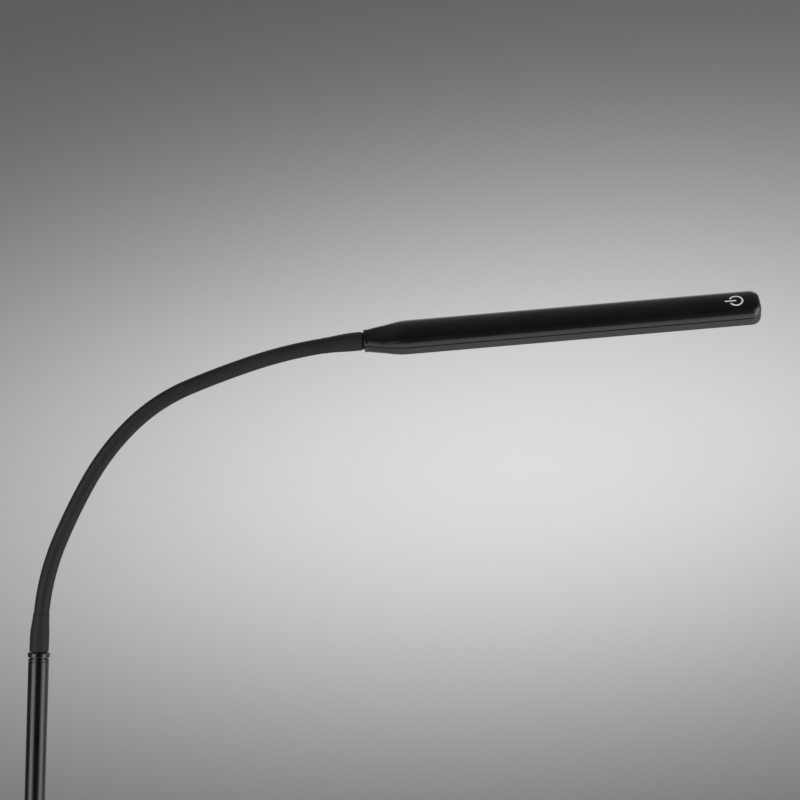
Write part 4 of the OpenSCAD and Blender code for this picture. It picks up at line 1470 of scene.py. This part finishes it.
@dataclass(frozen=True)
class Section:
    """Cross-section of the head at one place, in mm.

    Attributes:
        half: half its width.
        top: height of its crown.
        bottom: depth of its underside.
        top_edge: radius of its upper edges.
        bottom_edge: radius of its lower edges.
        crown: radius of its crowned top.
    """

    half: float
    top: float
    bottom: float
    top_edge: float
    bottom_edge: float
    crown: float

    def height(self, y: float) -> float:
        """Returns the height of the crown at y."""
        return self.top - self.crown + sqrt(self.crown ** 2 - y * y)

    def edge_turn(self) -> float:
        """Returns the angle that the upper edge turns through before it meets the crown."""
        return pi / 2 - asin((self.half - self.top_edge) / (self.crown - self.top_edge))

    def edge_z(self) -> float:
        """Returns the height at which the side wall ends and the upper edge begins."""
        reach = self.crown - self.top_edge
        return self.top - self.crown + sqrt(reach ** 2 - (self.half - self.top_edge) ** 2)

    def drawn_in(self, inset: float) -> "Section":
        """Returns the section that lies an inset further in."""
        return Section(self.half - inset, self.top - inset, self.bottom - inset,
                       self.top_edge - inset, self.bottom_edge - inset, self.crown)


@dataclass(frozen=True)
class Station:
    """A place on the head's plan outline.

    Attributes:
        x: distance along the head.
        y: distance across it.
        inward: direction into the plan.
        tip_share: 0 on the sides, 1 on the end face.
        section: the head's section there.
    """

    x: float
    y: float
    inward: Pair
    tip_share: float
    section: Section

    def at(self, depth: float, z: float) -> Vector:
        """Returns the place at a depth inside the outline and a height, in mm."""
        return Vector((self.x + self.inward[0] * depth, self.y + self.inward[1] * depth, z))


@dataclass(frozen=True)
class HeadForm:
    """Outer form of the head: a small rounded collar that flares into a long crowned bar.

    Attributes:
        length: length from the collar's face to the tip.
        bar: section of the bar.
        collar: section of the collar.
        seam_z: height of the seam between shell and frame.
        seam_gap: height of the gap between them.
        seam_depth: depth of that gap.
        lip: rounding of each half's edge at the seam.
        ring_l: length of the collar.
        flare_end: where the flare becomes the bar.
        spread_power: how much sooner the flare widens than a straight one would.
        rise_start: where the flare's height begins to change.
        rise_end: where it is the bar's.
        edge_power: how much sooner its lower edges sharpen than its height changes.
        face_r: rounding of the collar's front edge.
        corner_r: radius of the tip's corners in plan.
        tip_edge: radius of the tip's upper edge.
        tip_low_edge: radius of its lower edge.
        hole_r: radius of the journal's hole.
        band_depth: how far in from the outline the crown's own rows begin.
        wall_share: where the shell's side wall has one more row, as a share of its height.
        band_steps: straight pieces in a rounded edge.
        cross_steps: straight pieces across the crown.
        floor_steps: straight pieces across the underside.
        lip_steps: straight pieces in the rounding at the seam.
        corner_steps: straight pieces round a corner of the tip.
        face_steps: straight pieces in the collar's front edge.
        ring_xs: places of the sections on the collar.
        flare_xs: first place, spacing and number of the sections on the flare.
        bar_xs: the same on the bar.
    """

    length: float = 305.5
    bar: Section = Section(13.5, 8.9, 5.8, 5.0, 0.8, 45.0)
    collar: Section = Section(8.3, 6.2, 6.9, 3.8, 4.5, 160.0)
    seam_z: float = 1.4
    seam_gap: float = 0.6
    seam_depth: float = 0.9
    lip: float = 0.35
    ring_l: float = 3.2
    flare_end: float = 32.0
    spread_power: float = 1.55
    rise_start: float = 15.0
    rise_end: float = 33.0
    edge_power: float = 0.7
    face_r: float = 0.7
    corner_r: float = 8.0
    tip_edge: float = 4.7
    tip_low_edge: float = 2.4
    hole_r: float = 4.25
    band_depth: float = 5.5
    wall_share: float = 0.6
    band_steps: int = 8
    cross_steps: int = 14
    floor_steps: int = 6
    lip_steps: int = 4
    corner_steps: int = 12
    face_steps: int = 6
    ring_xs: tuple[float, ...] = (1.6, 2.9, 3.1, 3.2, 3.35, 3.7, 4.3)
    flare_xs: tuple[float, float, int] = (5.0, 1.25, 23)
    bar_xs: tuple[float, float, int] = (36.0, 9.0, 29)

    def section(self, x: float) -> Section:
        """Finds the head's section at a distance from the collar's face.

        Args:
            x: the distance, in mm.

        Returns:
            The section, drawn in at the collar's rounded front edge.
        """
        share = min(max((x - self.ring_l) / (self.flare_end - self.ring_l), 0.0), 1.0)
        spread = 1.0 - (1.0 - share) ** self.spread_power
        rise = ease((x - self.rise_start) / (self.rise_end - self.rise_start))
        low, high = self.collar, self.bar
        inset = 0.0
        if x < self.face_r:
            inset = self.face_r - sqrt(self.face_r ** 2 - (self.face_r - x) ** 2)
        full = Section(
            mix(low.half, high.half, spread), mix(low.top, high.top, rise),
            mix(low.bottom, high.bottom, rise), mix(low.top_edge, high.top_edge, rise),
            mix(low.bottom_edge, high.bottom_edge, rise ** self.edge_power),
            1.0 / mix(1.0 / low.crown, 1.0 / high.crown, rise))
        return full.drawn_in(inset)

    def side_spot(self, x: float, inset: float = 0.0) -> Station:
        """Returns the place on the -Y side at x, an inset inside the outer form."""
        section = self.section(x).drawn_in(inset)
        return Station(x, -section.half, (0.0, 1.0), 0.0, section)

    def side_xs(self, start: float = 0.0) -> list[float]:
        """Lists where the sides of the head have a section.

        Args:
            start: the first place, in mm from the collar's face.

        Returns:
            The distances, close together where the form changes.
        """
        face = [self.face_r * (1 - cos(radians(90 / self.face_steps * n)))
                for n in range(self.face_steps + 1)]
        even = [first + step * n for first, step, count in (self.flare_xs, self.bar_xs)
                for n in range(count)]
        straight_end = self.length - self.corner_r
        return [start, *(x for x in (*face, *self.ring_xs, *even) if start < x < straight_end)]

    def stations(self, start: float = 0.0) -> list[Station]:
        """Lists the places along the -Y side and its corner, up to the end face.

        Args:
            start: the first place, in mm from the collar's face.

        Returns:
            The places, in order.
        """
        places = [self.side_spot(x) for x in self.side_xs(start)]
        centre = (self.length - self.corner_r, self.corner_r - self.bar.half)
        for n in range(self.corner_steps + 1):
            angle = pi / 2 * n / self.corner_steps
            s, c = sin(angle), cos(angle)
            places.append(Station(centre[0] + self.corner_r * s, centre[1] - self.corner_r * c,
                                  (-s, c), s * s, self.bar))
        return places

    def end_stations(self) -> list[Station]:
        """Returns the places on the end face, between its two corners."""
        reach = self.bar.half - self.corner_r
        return [Station(self.length, mix(-reach, reach, n / self.cross_steps), (-1.0, 0.0), 1.0,
                        self.bar) for n in range(1, self.cross_steps)]

    def upper_band(self, spot: Station) -> list[Vector]:
        """Draws the shell's outer side from the seam over the upper edge to the crown.

        Args:
            spot: the place on the outline.

        Returns:
            The points, from the seam inwards.
        """
        section = spot.section
        turn, edge_z = section.edge_turn(), section.edge_z()
        band = []
        for k in range(self.band_steps + 1):
            side_angle = turn * k / self.band_steps
            tip_angle = pi / 2 * k / self.band_steps
            side_depth = section.top_edge * (1 - cos(side_angle))
            tip_depth = self.tip_edge * (1 - cos(tip_angle))
            side_drop = (section.height(section.half - side_depth)
                         - edge_z - section.top_edge * sin(side_angle))
            tip_drop = self.tip_edge * (1 - sin(tip_angle))
            depth = mix(side_depth, tip_depth, spot.tip_share)
            plan = spot.at(depth, 0.0)
            drop = mix(side_drop, tip_drop, spot.tip_share)
            band.append(spot.at(depth, section.height(plan.y) - drop))
        inner = spot.at(self.band_depth, 0.0)
        band.append(spot.at(self.band_depth, section.height(inner.y)))
        low = self.seam_z + self.seam_gap / 2
        wall = self._lip(spot, low, 1.0)
        wall.append(spot.at(0.0, mix(low + self.lip, band[0].z, self.wall_share)))
        return wall + band

    def _lip(self, spot: Station, z: float, way: float) -> list[Vector]:
        """Returns one half's rounded edge at the seam, up from z where way is 1, down for -1."""
        turns = [pi / 2 * n / self.lip_steps for n in range(self.lip_steps + 1)]
        return [spot.at(self.lip * (1 - sin(t)), z + way * self.lip * (1 - cos(t))) for t in turns]

    def upper_row(self, spot: Station) -> list[Vector]:
        """Draws the shell's outer side from one side's seam to the other's.

        Args:
            spot: the place on the -Y side of the outline.

        Returns:
            The points of the row.
        """
        band = self.upper_band(spot)
        start = band[-1]
        across = []
        for n in range(1, self.cross_steps):
            y = mix(start.y, -start.y, n / self.cross_steps)
            across.append(Vector((start.x, y, spot.section.height(y))))
        return band + across + mirrored(band)

    def lower_row(self, spot: Station) -> list[Vector]:
        """Draws the frame's outer side under the seam, from one side to the other.

        Args:
            spot: the place on the -Y side of the outline.

        Returns:
            The points of the row.
        """
        section = spot.section
        corner = section.bottom_edge
        half = self._lip(spot, self.seam_z - self.seam_gap / 2, -1.0)
        for n in range(self.band_steps + 1):
            angle = pi / 2 * n / self.band_steps
            half.append(spot.at(corner * (1 - cos(angle)),
                                corner * (1 - sin(angle)) - section.bottom))
        flat = half[-1]
        middle = [Vector((flat.x, mix(flat.y, -flat.y, n / self.floor_steps), flat.z))
                  for n in range(1, self.floor_steps)]
        return half + middle + mirrored(half)

    def hole_row(self, row: Places, upper: bool) -> list[Vector]:
        """Lays a row on the edge of the journal's hole, in step with a row of the face.

        Args:
            row: the row on the collar's face.
            upper: whether the row is the shell's or the frame's.

        Returns:
            The points on the hole's edge, on the same side of the seam.
        """
        seam_turn = asin(self.seam_z / self.hole_r)
        first = atan2(row[0].z, row[0].y)
        last = atan2(row[-1].z, row[-1].y)
        if not upper:
            first -= 2 * pi
        goal_first = pi - seam_turn - (0.0 if upper else 2 * pi)
        points = []
        for p in row:
            angle = atan2(p.z, p.y)
            if not upper and angle > pi / 2:
                angle -= 2 * pi
            share = (angle - first) / (last - first)
            turn = mix(goal_first, seam_turn, share)
            points.append(Vector((0.0, self.hole_r * cos(turn), self.hole_r * sin(turn))))
        return points


@dataclass(frozen=True)
class Head:
    """Bar head: two moulded halves, the light strip behind its diffuser, and the switch.

    Attributes:
        form: the head's outer form.
        shell_wall: wall of the shell.
        rim: width of the frame's rim round the diffuser.
        tip_margin: how much wider than its rounded edge the rim is at the tip.
        pocket_x: where the diffuser's pocket begins.
        pocket_z: depth that the diffuser's back lies at.
        step_in: how far the rim's step behind the diffuser reaches in.
        ledge_z: lower side of the ledge that the light strip is screwed to.
        ledge_in: how far the ledge reaches in from the outline.
        diffuser_z: depth of the diffuser's outer face.
        diffuser_play: gap round the diffuser.
        diffuser_edge: rounding of its outer edge.
        diffuser_half: about half its length.
        block_xs: places of the sections inside the swivel block.
        block_end: where the block ends.
        block_play: gap between the block and the shell.
        block_bore: radius of its bore.
        chip_count: number of light chips.
        chip_size: length, width and height of one.
        chip_start: where the first one lies.
        chip_end: where the last one lies.
        chip_bevel: share of a chip's height where its bevel starts, and of its size at the end.
        window_share: share of the chip's size that its window has.
        board_z: depth of the board's face that they lie on.
        symbol_x: distance of the power symbol from the collar's face.
        symbol_r: outer radius of its ring.
        symbol_line: width of its line.
        symbol_gap: half the ring's gap, in degrees.
        symbol_bar: length of its bar, and how far it starts beyond the centre.
        symbol_rise: how far it stands out of the crown and how deep it is let in.
        symbol_bevel: width and height of its bevelled edge.
        symbol_steps: straight pieces in its ring, in its bar and at a line's round end.
        screw_rows: distances of the screws along the head.
        screw_y: their distance from its middle line.
        screw: height, radius and rounding of each corner of a screw's outline.
    """

    form: HeadForm = HeadForm()
    shell_wall: float = 1.4
    rim: float = 1.6
    tip_margin: float = 0.3
    pocket_x: float = 33.0
    pocket_z: float = -3.4
    step_in: float = 3.0
    ledge_z: float = -0.6
    ledge_in: float = 5.9
    diffuser_z: float = -5.0
    diffuser_play: float = 0.15
    diffuser_edge: float = 0.3
    diffuser_half: float = 135.0
    block_xs: tuple[float, ...] = (4.0, 6.5, 9.0, 11.0)
    block_end: float = 13.4
    block_play: float = 0.05
    block_bore: float = 3.95
    chip_count: int = 32
    chip_size: Triple = (3.5, 2.8, 0.7)
    chip_start: float = 43.0
    chip_end: float = 291.1
    chip_bevel: Pair = (0.8, 0.93)
    window_share: float = 0.72
    board_z: float = -0.2
    symbol_x: float = 286.7
    symbol_r: float = 5.55
    symbol_line: float = 1.25
    symbol_gap: float = 33.0
    symbol_bar: Pair = (7.77, 0.3)
    symbol_rise: Pair = (0.03, 0.4)
    symbol_bevel: Pair = (0.04, 0.02)
    symbol_steps: tuple[int, int, int] = (64, 6, 5)
    screw_rows: tuple[float, ...] = (45.0, 167.5, 291.0)
    screw_y: float = 9.2
    screw: tuple[Corner, ...] = (
        (-1.1, 0.0, 0), (-0.75, 0.45, 0.05), (-1.1, 0.8, 0.05), (-1.1, 1.35, 0.25),
        (0.0, 1.6, 0.1), (0.0, 1.0, 0), (7.0, 1.0, 0.2), (7.5, 0.4, 0), (7.5, 0.0, 0))

    def build(self) -> None:
        """Builds the head's pieces in order."""
        self._add_shell()
        self._add_frame()
        self._add_diffuser()
        self._add_block()
        self._add_symbol()
        self._add_chips()
        self._add_screws()
        dress(ALUMINIUM, "heat_plate")
        dress(SOLDER_MASK, "led_board")
        dress(BOARD_LACQUER, "control_board")
        dress(BRASS, "touch_spring")
        dress(JACKET, "head_wires")

    def _to_lamp(self, thing: Piece) -> Piece:
        """Takes a mesh drawn in the head's frame, in mm, into the lamp's frame."""
        thing.data.transform(HEAD_FRAME @ Matrix.Scale(MM, 4))
        return thing

    def _thicken(self, name: str, sheet: Shape) -> Piece:
        """Gives an open sheet, whose faces point outwards, its wall.

        Args:
            name: the new object's name.
            sheet: the sheet, in the head's frame.

        Returns:
            A closed piece in the lamp's frame.
        """
        draft = make_object("sheet_carrier", sheet, outward=False)
        wall = draft.modifiers.new("wall", "SOLIDIFY")
        wall.thickness = self.shell_wall
        wall.offset = -1.0
        wall.use_even_offset = True
        bpy.context.view_layer.update()
        return self._to_lamp(as_plain(draft, name))

    def _add_shell(self) -> None:
        """Builds the upper half of the head."""
        form = self.form
        sheet = bmesh.new()
        rows = [form.upper_row(spot) for spot in form.stations()]
        rows.insert(0, form.hole_row(rows[0], upper=True))
        made = [add_row(sheet, row) for row in rows]
        for one, two in zip(made, made[1:]):
            add_strip(sheet, two, one)
        last = made[-1]
        deep = len(form.upper_band(form.side_spot(0.0)))
        columns = [last[:deep]]
        for n, spot in enumerate(form.end_stations(), start=1):
            band = form.upper_band(spot)
            columns.append(add_row(sheet, band[:-1]) + [last[deep - 1 + n]])
        columns.append(last[-deep:][::-1])
        for one, two in zip(columns, columns[1:]):
            add_strip(sheet, two, one)
        settle(self._thicken("upper_shell", sheet), MOULDED, "head", "head_shell")

    def _add_frame(self) -> None:
        """Builds the lower half: a closed front part and the rim round the diffuser."""
        form = self.form
        sheet = bmesh.new()
        xs = [x for x in form.side_xs() if x < self.pocket_x] + [self.pocket_x]
        rows = [form.lower_row(form.side_spot(x)) for x in xs]
        rows.insert(0, form.hole_row(rows[0], upper=False))
        loft(sheet, [add_row(sheet, row) for row in rows], closed=False)
        settle(self._thicken("lower_front", sheet), MOULDED, "head", "head_frame")
        settle(self._to_lamp(self._rim()), MOULDED, "head", "head_frame")

    def _rim_w(self, tip_share: float) -> float:
        """Returns the rim's width, which is greater at the tip."""
        return mix(self.rim, self.form.tip_low_edge + self.tip_margin, tip_share)

    def _rim_outline(self, tip_share: float) -> Outline:
        """Draws the rim's section, whose lower edge is rounder at the tip.

        Args:
            tip_share: 0 on the sides, 1 on the end face.

        Returns:
            Depth inside the head's outline and height of each point.
        """
        form = self.form
        low = -form.bar.bottom
        edge = form.seam_z - form.seam_gap / 2
        top = form.seam_z + form.seam_gap / 2
        corner = mix(form.bar.bottom_edge, form.tip_low_edge, tip_share)
        inner = self._rim_w(tip_share)
        return rounded([
            (0.0, edge, form.lip), (0.0, low, corner), (inner, low, 0.25),
            (inner, self.pocket_z, 0), (self.step_in, self.pocket_z, 0),
            (self.step_in, self.ledge_z, 0), (self.ledge_in, self.ledge_z, 0.2),
            (self.ledge_in, top, 0), (form.seam_depth, top, 0), (form.seam_depth, edge, 0)],
            steps=6)

    def _rim(self) -> Piece:
        """Makes the rim that runs from the front part round the tip and back.

        Returns:
            The rim, in the head's frame.
        """
        near = self.form.stations(self.pocket_x)
        far = [Station(s.x, -s.y, (s.inward[0], -s.inward[1]), s.tip_share, s.section)
               for s in reversed(near)]
        shape = bmesh.new()
        rings = []
        for spot in near + self.form.end_stations() + far:
            rings.append(add_row(shape, [spot.at(depth, z) for depth, z
                                         in self._rim_outline(spot.tip_share)]))
        loft(shape, rings, caps=True)
        return make_object("lower_rim", shape)

    def _add_diffuser(self) -> None:
        """Builds the opal strip that closes the rim."""
        form = self.form
        play, edge = self.diffuser_play, self.diffuser_edge
        spots = form.stations(self.pocket_x + play)
        plan = [spot.at(play + self._rim_w(spot.tip_share), 0.0)
                for spot in spots + form.end_stations()]
        plan += mirrored(plan[:len(spots)])
        middle = mix(self.pocket_x, form.length, 0.5)
        profile = rounded([(self.diffuser_z, edge, 0), (self.diffuser_z, 0.0, edge),
                           (self.pocket_z, 0.0, edge / 2), (self.pocket_z, edge, 0)], steps=4)
        shape = bmesh.new()
        rings = [add_row(shape, [
            Vector((middle + (p.x - middle) * (1 - inset / self.diffuser_half),
                    p.y * (1 - inset / form.bar.half), z)) for p in plan])
            for z, inset in profile]
        loft(shape, rings, caps=True)
        settle(self._to_lamp(make_object("opal_strip", shape)), OPAL, "head", "diffuser")

    def _in_bore(self, p: Vector) -> Vector:
        """Returns a point of the block's outline drawn in to its bore."""
        share = self.block_bore / hypot(p.y, p.z)
        return Vector((p.x, p.y * share, p.z * share))

    def _add_block(self) -> None:
        """Builds the block inside the collar that the journal turns in."""
        plain = HeadForm(lip=0.0, seam_gap=0.0)
        rings = []
        for x in (self.shell_wall, *self.block_xs, self.block_end):
            spot = self.form.side_spot(x, self.shell_wall + self.block_play)
            rings.append(plain.upper_row(spot) + plain.lower_row(spot)[::-1][1:-1])
        rings = [[self._in_bore(p) for p in rings[0]], *rings,
                 [self._in_bore(p) for p in rings[-1]]]
        shape = bmesh.new()
        loops = [add_row(shape, ring) for ring in rings]
        loft(shape, loops + loops[:1])
        bmesh.ops.remove_doubles(shape, verts=shape.verts, dist=0.001)
        settle(self._to_lamp(make_object("swivel_block", shape)), ALUMINIUM, "head",
               "swivel_socket")

    def _ribbon(self, shape: Shape, path: Sequence[Pair]) -> None:
        """Lays a ribbon as wide as the symbol's line on the crown.

        Args:
            shape: the mesh that it is added to.
            path: points of its middle line in plan, in mm.
        """
        proud, deep = self.symbol_rise
        bevel_w, bevel_h = self.symbol_bevel
        half = self.symbol_line / 2
        ends = self.symbol_steps[2]
        line = [Vector(spot) for spot in path]
        outer: list[Vector] = []
        inner: list[Vector] = []
        for k, here in enumerate(line):
            ahead = line[min(k + 1, len(line) - 1)] - line[max(k - 1, 0)]
            side = Vector((-ahead.y, ahead.x)).normalized()
            outer.append(here + side * half)
            inner.append(here - side * half)
        caps = []
        for end, before in ((line[-1], line[-2]), (line[0], line[1])):
            along = (end - before).normalized()
            side = Vector((-along.y, along.x))
            caps.append([end + (along * sin(t) + side * cos(t)) * half
                         for t in (pi * n / (ends + 1) for n in range(1, ends + 1))])
        contour = outer + caps[0] + inner[::-1] + caps[1]
        rings = []
        for inset, lift in ((0.0, -deep), (0.0, proud - bevel_h), (bevel_w, proud)):
            ring = []
            for p in contour:
                nearest = min(line, key=lambda q: (q - p).length)
                drawn = p + (nearest - p).normalized() * inset
                ring.append(Vector((drawn.x, drawn.y, self.form.bar.height(drawn.y) + lift)))
            rings.append(add_row(shape, ring))
        loft(shape, rings)
        shape.faces.new(rings[0])
        top = rings[-1]
        count = len(line)
        outer_top = top[:count]
        inner_top = top[count + ends:2 * count + ends][::-1]
        add_strip(shape, outer_top, inner_top)
        shape.faces.new([outer_top[-1], *top[count:count + ends], inner_top[-1]])
        shape.faces.new([inner_top[0], *top[2 * count + ends:], outer_top[0]])

    def _add_symbol(self) -> None:
        """Builds the light power symbol on the crown: an open ring and a bar."""
        middle_r = self.symbol_r - self.symbol_line / 2
        shape = bmesh.new()
        sweep = 360.0 - 2 * self.symbol_gap
        ring_steps, bar_steps, _ = self.symbol_steps
        ring = []
        for n in range(ring_steps + 1):
            angle = radians(180.0 + self.symbol_gap + sweep * n / ring_steps)
            ring.append((self.symbol_x + middle_r * cos(angle), middle_r * sin(angle)))
        self._ribbon(shape, ring)
        bar_l, bar_start = self.symbol_bar
        self._ribbon(shape, [(self.symbol_x - bar_l * (1 - n / bar_steps) - bar_start, 0.0)
                             for n in range(bar_steps + 1)])
        settle(self._to_lamp(make_object("switch_symbol", shape, 60.0)), SYMBOL_INK, "head",
               "power_symbol")

    def _chip_part(self, share: float, low: float, high: float, round_r: float) -> Piece:
        """Makes a rounded block of a chip, under the board.

        Args:
            share: share of the chip's length and width that it has.
            low: depth that it begins at, in mm.
            high: depth that it ends at, in mm.
            round_r: rounding of its corners, in mm.

        Returns:
            The block, drawn round the origin.
        """
        shape = bmesh.new()
        x, y = self.chip_size[0] * share / 2, self.chip_size[1] * share / 2
        plan = rounded([(-x, -y, round_r), (x, -y, round_r), (x, y, round_r), (-x, y, round_r)],
                       steps=2)
        bevel, end = self.chip_bevel
        loft(shape, [add_row(shape, [Vector((u * s, v * s, -z)) for u, v in plan])
                     for s, z in ((1.0, low), (1.0, mix(low, high, bevel)), (end, high))],
             caps=True)
        block = make_object("chip_template", shape)
        block.data.transform(HEAD_TURN @ Matrix.Scale(MM, 4))
        return block

    def _add_chips(self) -> None:
        """Builds the light chips on their strip, each a case with a domed phosphor window."""
        height = self.chip_size[2]
        pitch = (self.chip_end - self.chip_start) / (self.chip_count - 1)
        spots = [on_head(self.chip_start + pitch * n, 0.0, self.board_z)
                 for n in range(self.chip_count)]
        case = self._chip_part(1.0, 0.0, height, 0.25)
        settle(copies("chip_cases", case, spots, SOLDER_MASK), SOLDER_MASK, "head", "led_chips")
        dome = self._chip_part(self.window_share, height - 0.1, height + 0.08, 0.5)
        settle(copies("chip_windows", dome, spots, PHOSPHOR), PHOSPHOR, "head", "led_chips")

    def _add_screws(self) -> None:
        """Builds the six screws that hold frame, plate and shell together."""
        template = turned("tap_screw_shape", self.screw, upright, 24, steps=3)
        template.data.transform(HEAD_TURN)
        spots = [on_head(x, y, self.ledge_z) for x in self.screw_rows
                 for y in (-self.screw_y, self.screw_y)]
        settle(copies("ledge_screws", template, spots, ZINC), ZINC, "head", "head_screws")


# Studio

@dataclass(frozen=True)
class Softbox:
    """A soft studio light.

    Attributes:
        name: the light's name.
        place: where it stands, in metres.
        size: its width and height, in metres.
        power: its power, in watts.
        aim: what it points at, in metres.
    """

    name: str
    place: Triple
    size: Pair
    power: float
    aim: Triple = (0.0, 0.0, 1.35)

    def build(self) -> None:
        """Adds the light to the scene."""
        light = bpy.data.lights.new(self.name, "AREA")
        light.shape = "RECTANGLE"
        light.size, light.size_y = self.size
        light.energy = self.power
        thing = add_object(self.name, light)
        thing.visible_camera = False
        aim = Vector(self.aim) - Vector(self.place)
        thing.matrix_world = (Matrix.Translation(self.place)
                              @ aim.to_track_quat("-Z", "Y").to_matrix().to_4x4())


@dataclass(frozen=True)
class Backdrop:
    """Grey backdrop with one soft oval glow, drawn by the sines of the direction of view.

    Attributes:
        base: grey far from the glow.
        glow: how much brighter the glow's middle is.
        across: the middle's place across.
        up: the middle's place upwards.
        half_across: how far the glow reaches across.
        half_up: how far it reaches upwards.
        lean: how far the middle moves across for each step upwards.
        gloss_scale: share of a direction that counts in gloss, which widens the glow there.
        near_share: share of the light that gloss sees from the camera's side.
        near_to: how far that side reaches, as a sine towards the backdrop.
        far_from: where gloss sees the whole of the light.
    """

    base: float = 0.093
    glow: float = 0.625
    across: float = 0.062
    up: float = -0.023
    half_across: float = 0.25
    half_up: float = 0.109
    lean: float = 0.5
    gloss_scale: float = 0.555
    near_share: float = 0.022
    near_to: float = -0.25
    far_from: float = 0.3

    def build(self, ambient: float) -> None:
        """Makes the world: the backdrop for camera and gloss, and plain light for the rest.

        Args:
            ambient: strength of the plain light.
        """
        world = bpy.data.worlds.new("studio_world")
        world.use_nodes = True
        bpy.context.scene.world = world
        tree = world.node_tree
        path = place(tree, "ShaderNodeLightPath")
        seen = path.outputs["Is Camera Ray"]
        scale = remap(tree, seen, 0.0, 1.0, self.gloss_scale, 1.0)
        given = place(tree, "ShaderNodeTexCoord").outputs["Generated"]
        part = place(tree, "ShaderNodeSeparateXYZ",
                     {0: reckon_3d(tree, "SCALE", given, Scale=scale)})
        middle = reckon(tree, "MULTIPLY_ADD", part.outputs["Z"], self.lean, self.across)
        side = reckon(tree, "DIVIDE", reckon(tree, "SUBTRACT", part.outputs["X"], middle),
                      self.half_across)
        rise = reckon(tree, "DIVIDE", reckon(tree, "SUBTRACT", part.outputs["Z"], self.up),
                      self.half_up)
        reach = reckon(tree, "MULTIPLY_ADD", side, side, reckon(tree, "MULTIPLY", rise, rise))
        fall = reckon(tree, "EXPONENT", reckon(tree, "MULTIPLY", reach, -1.0))
        lit = reckon(tree, "MULTIPLY_ADD", fall, self.glow, self.base)
        depth = place(tree, "ShaderNodeSeparateXYZ", {0: given}).outputs["Y"]
        away = remap(tree, depth, self.near_to, self.far_from, self.near_share, 1.0)
        dim = reckon(tree, "MULTIPLY", lit, reckon(tree, "MAXIMUM", away, seen))
        gloss = reckon(tree, "MAXIMUM", path.outputs["Is Glossy Ray"],
                       path.outputs["Is Transmission Ray"])
        shown = reckon(tree, "MAXIMUM", gloss, seen)
        grey = place(tree, "ShaderNodeMix", {"Factor": shown, "A": ambient, "B": dim},
                     data_type="FLOAT").outputs["Result"]
        tree.links.new(grey, tree.nodes["Background"].inputs["Color"])


@dataclass(frozen=True)
class Studio:
    """Pale floor, grey backdrop, soft lights and the camera.

    Attributes:
        floor_half: half the floor's side, in metres.
        floor_cells: how many faces it has along a side.
        floor_colour: its grey.
        floor_mottle: how much that grey varies either way.
        floor_rough: its roughness.
        ambient: plain light from all round.
        boxes: the soft lights.
        lens: focal length, in mm.
        camera_at: where the camera stands, in metres.
        camera_roll: how far it is turned about its axis, in degrees.
        backdrop: the grey behind the lamp.
    """

    floor_half: float = 3.0
    floor_cells: int = 12
    floor_colour: float = 0.66
    floor_mottle: float = 0.015
    floor_rough: float = 0.7
    ambient: float = 0.55
    boxes: tuple[Softbox, ...] = (
        Softbox("left_softbox", (-1.617, -1.492, 1.35), (2.15, 2.7), 18.0),
        Softbox("left_core", (-1.580, -1.458, 1.35), (0.94, 2.7), 9.6),
        Softbox("right_softbox", (2.035, -0.835, 1.35), (2.24, 2.7), 18.8),
        Softbox("right_core", (1.989, -0.816, 1.35), (0.94, 2.7), 9.6),
        Softbox("back_softbox", (2.457, 1.72, 1.3), (2.8, 2.4), 6.0, (0.0, 0.0, 1.3)),
        Softbox("top_softbox", (0.3, 1.35, 2.7), (1.8, 1.0), 6.0, (0.3, 0.0, 1.35)))
    lens: float = 117.1
    camera_at: Triple = (0.2720, -2.0, 1.2961)
    camera_roll: float = 1.592
    backdrop: Backdrop = Backdrop()

    def build(self) -> None:
        """Builds the floor, the world, the lights and the camera."""
        self._add_floor()
        self.backdrop.build(self.ambient)
        for box in self.boxes:
            box.build()
        self._add_camera()
        bpy.context.scene.view_settings.view_transform = "Standard"

    def _add_floor(self) -> None:
        """Adds the pale floor as part of the stage."""
        shape = bmesh.new()
        ticks = [mix(-self.floor_half, self.floor_half, n / self.floor_cells)
                 for n in range(self.floor_cells + 1)]
        loft(shape, [add_row(shape, [Vector((x, y, 0.0)) for x in ticks]) for y in ticks],
             closed=False)
        floor = make_object("studio_floor", shape, outward=False)
        material = bpy.data.materials.new("pale_floor")
        material.use_nodes = True
        tree = material.node_tree
        grey = remap(tree, noise(tree, 3.0, 4.0), 0.0, 1.0, self.floor_colour - self.floor_mottle,
                     self.floor_colour + self.floor_mottle)
        feed(tree, tree.nodes["Principled BSDF"],
             {"Base Color": grey, "Roughness": self.floor_rough})
        floor.data.materials.append(material)

    def _add_camera(self) -> None:
        """Adds the camera at the photograph's place, level but for its roll."""
        camera = bpy.data.cameras.new("main_camera")
        camera.lens = self.lens
        camera.sensor_width = 36.0
        thing = add_object("main_camera", camera)
        thing.matrix_world = (Matrix.Translation(self.camera_at)
                              @ Matrix.Rotation(radians(90.0), 4, "X")
                              @ Matrix.Rotation(radians(self.camera_roll), 4, "Z"))
        bpy.context.scene.camera = thing


def main() -> None:
    """Builds the studio and the lamp's assemblies in order."""
    logging.basicConfig(level=logging.INFO, format="%(message)s")
    for part in (Studio(), Base(), Inlet(), Pole(), Lead(), Gooseneck(), Swivel(), Head()):
        LOG.info("building %s", type(part).__name__)
        part.build()


if __name__ == "__main__":
    main()
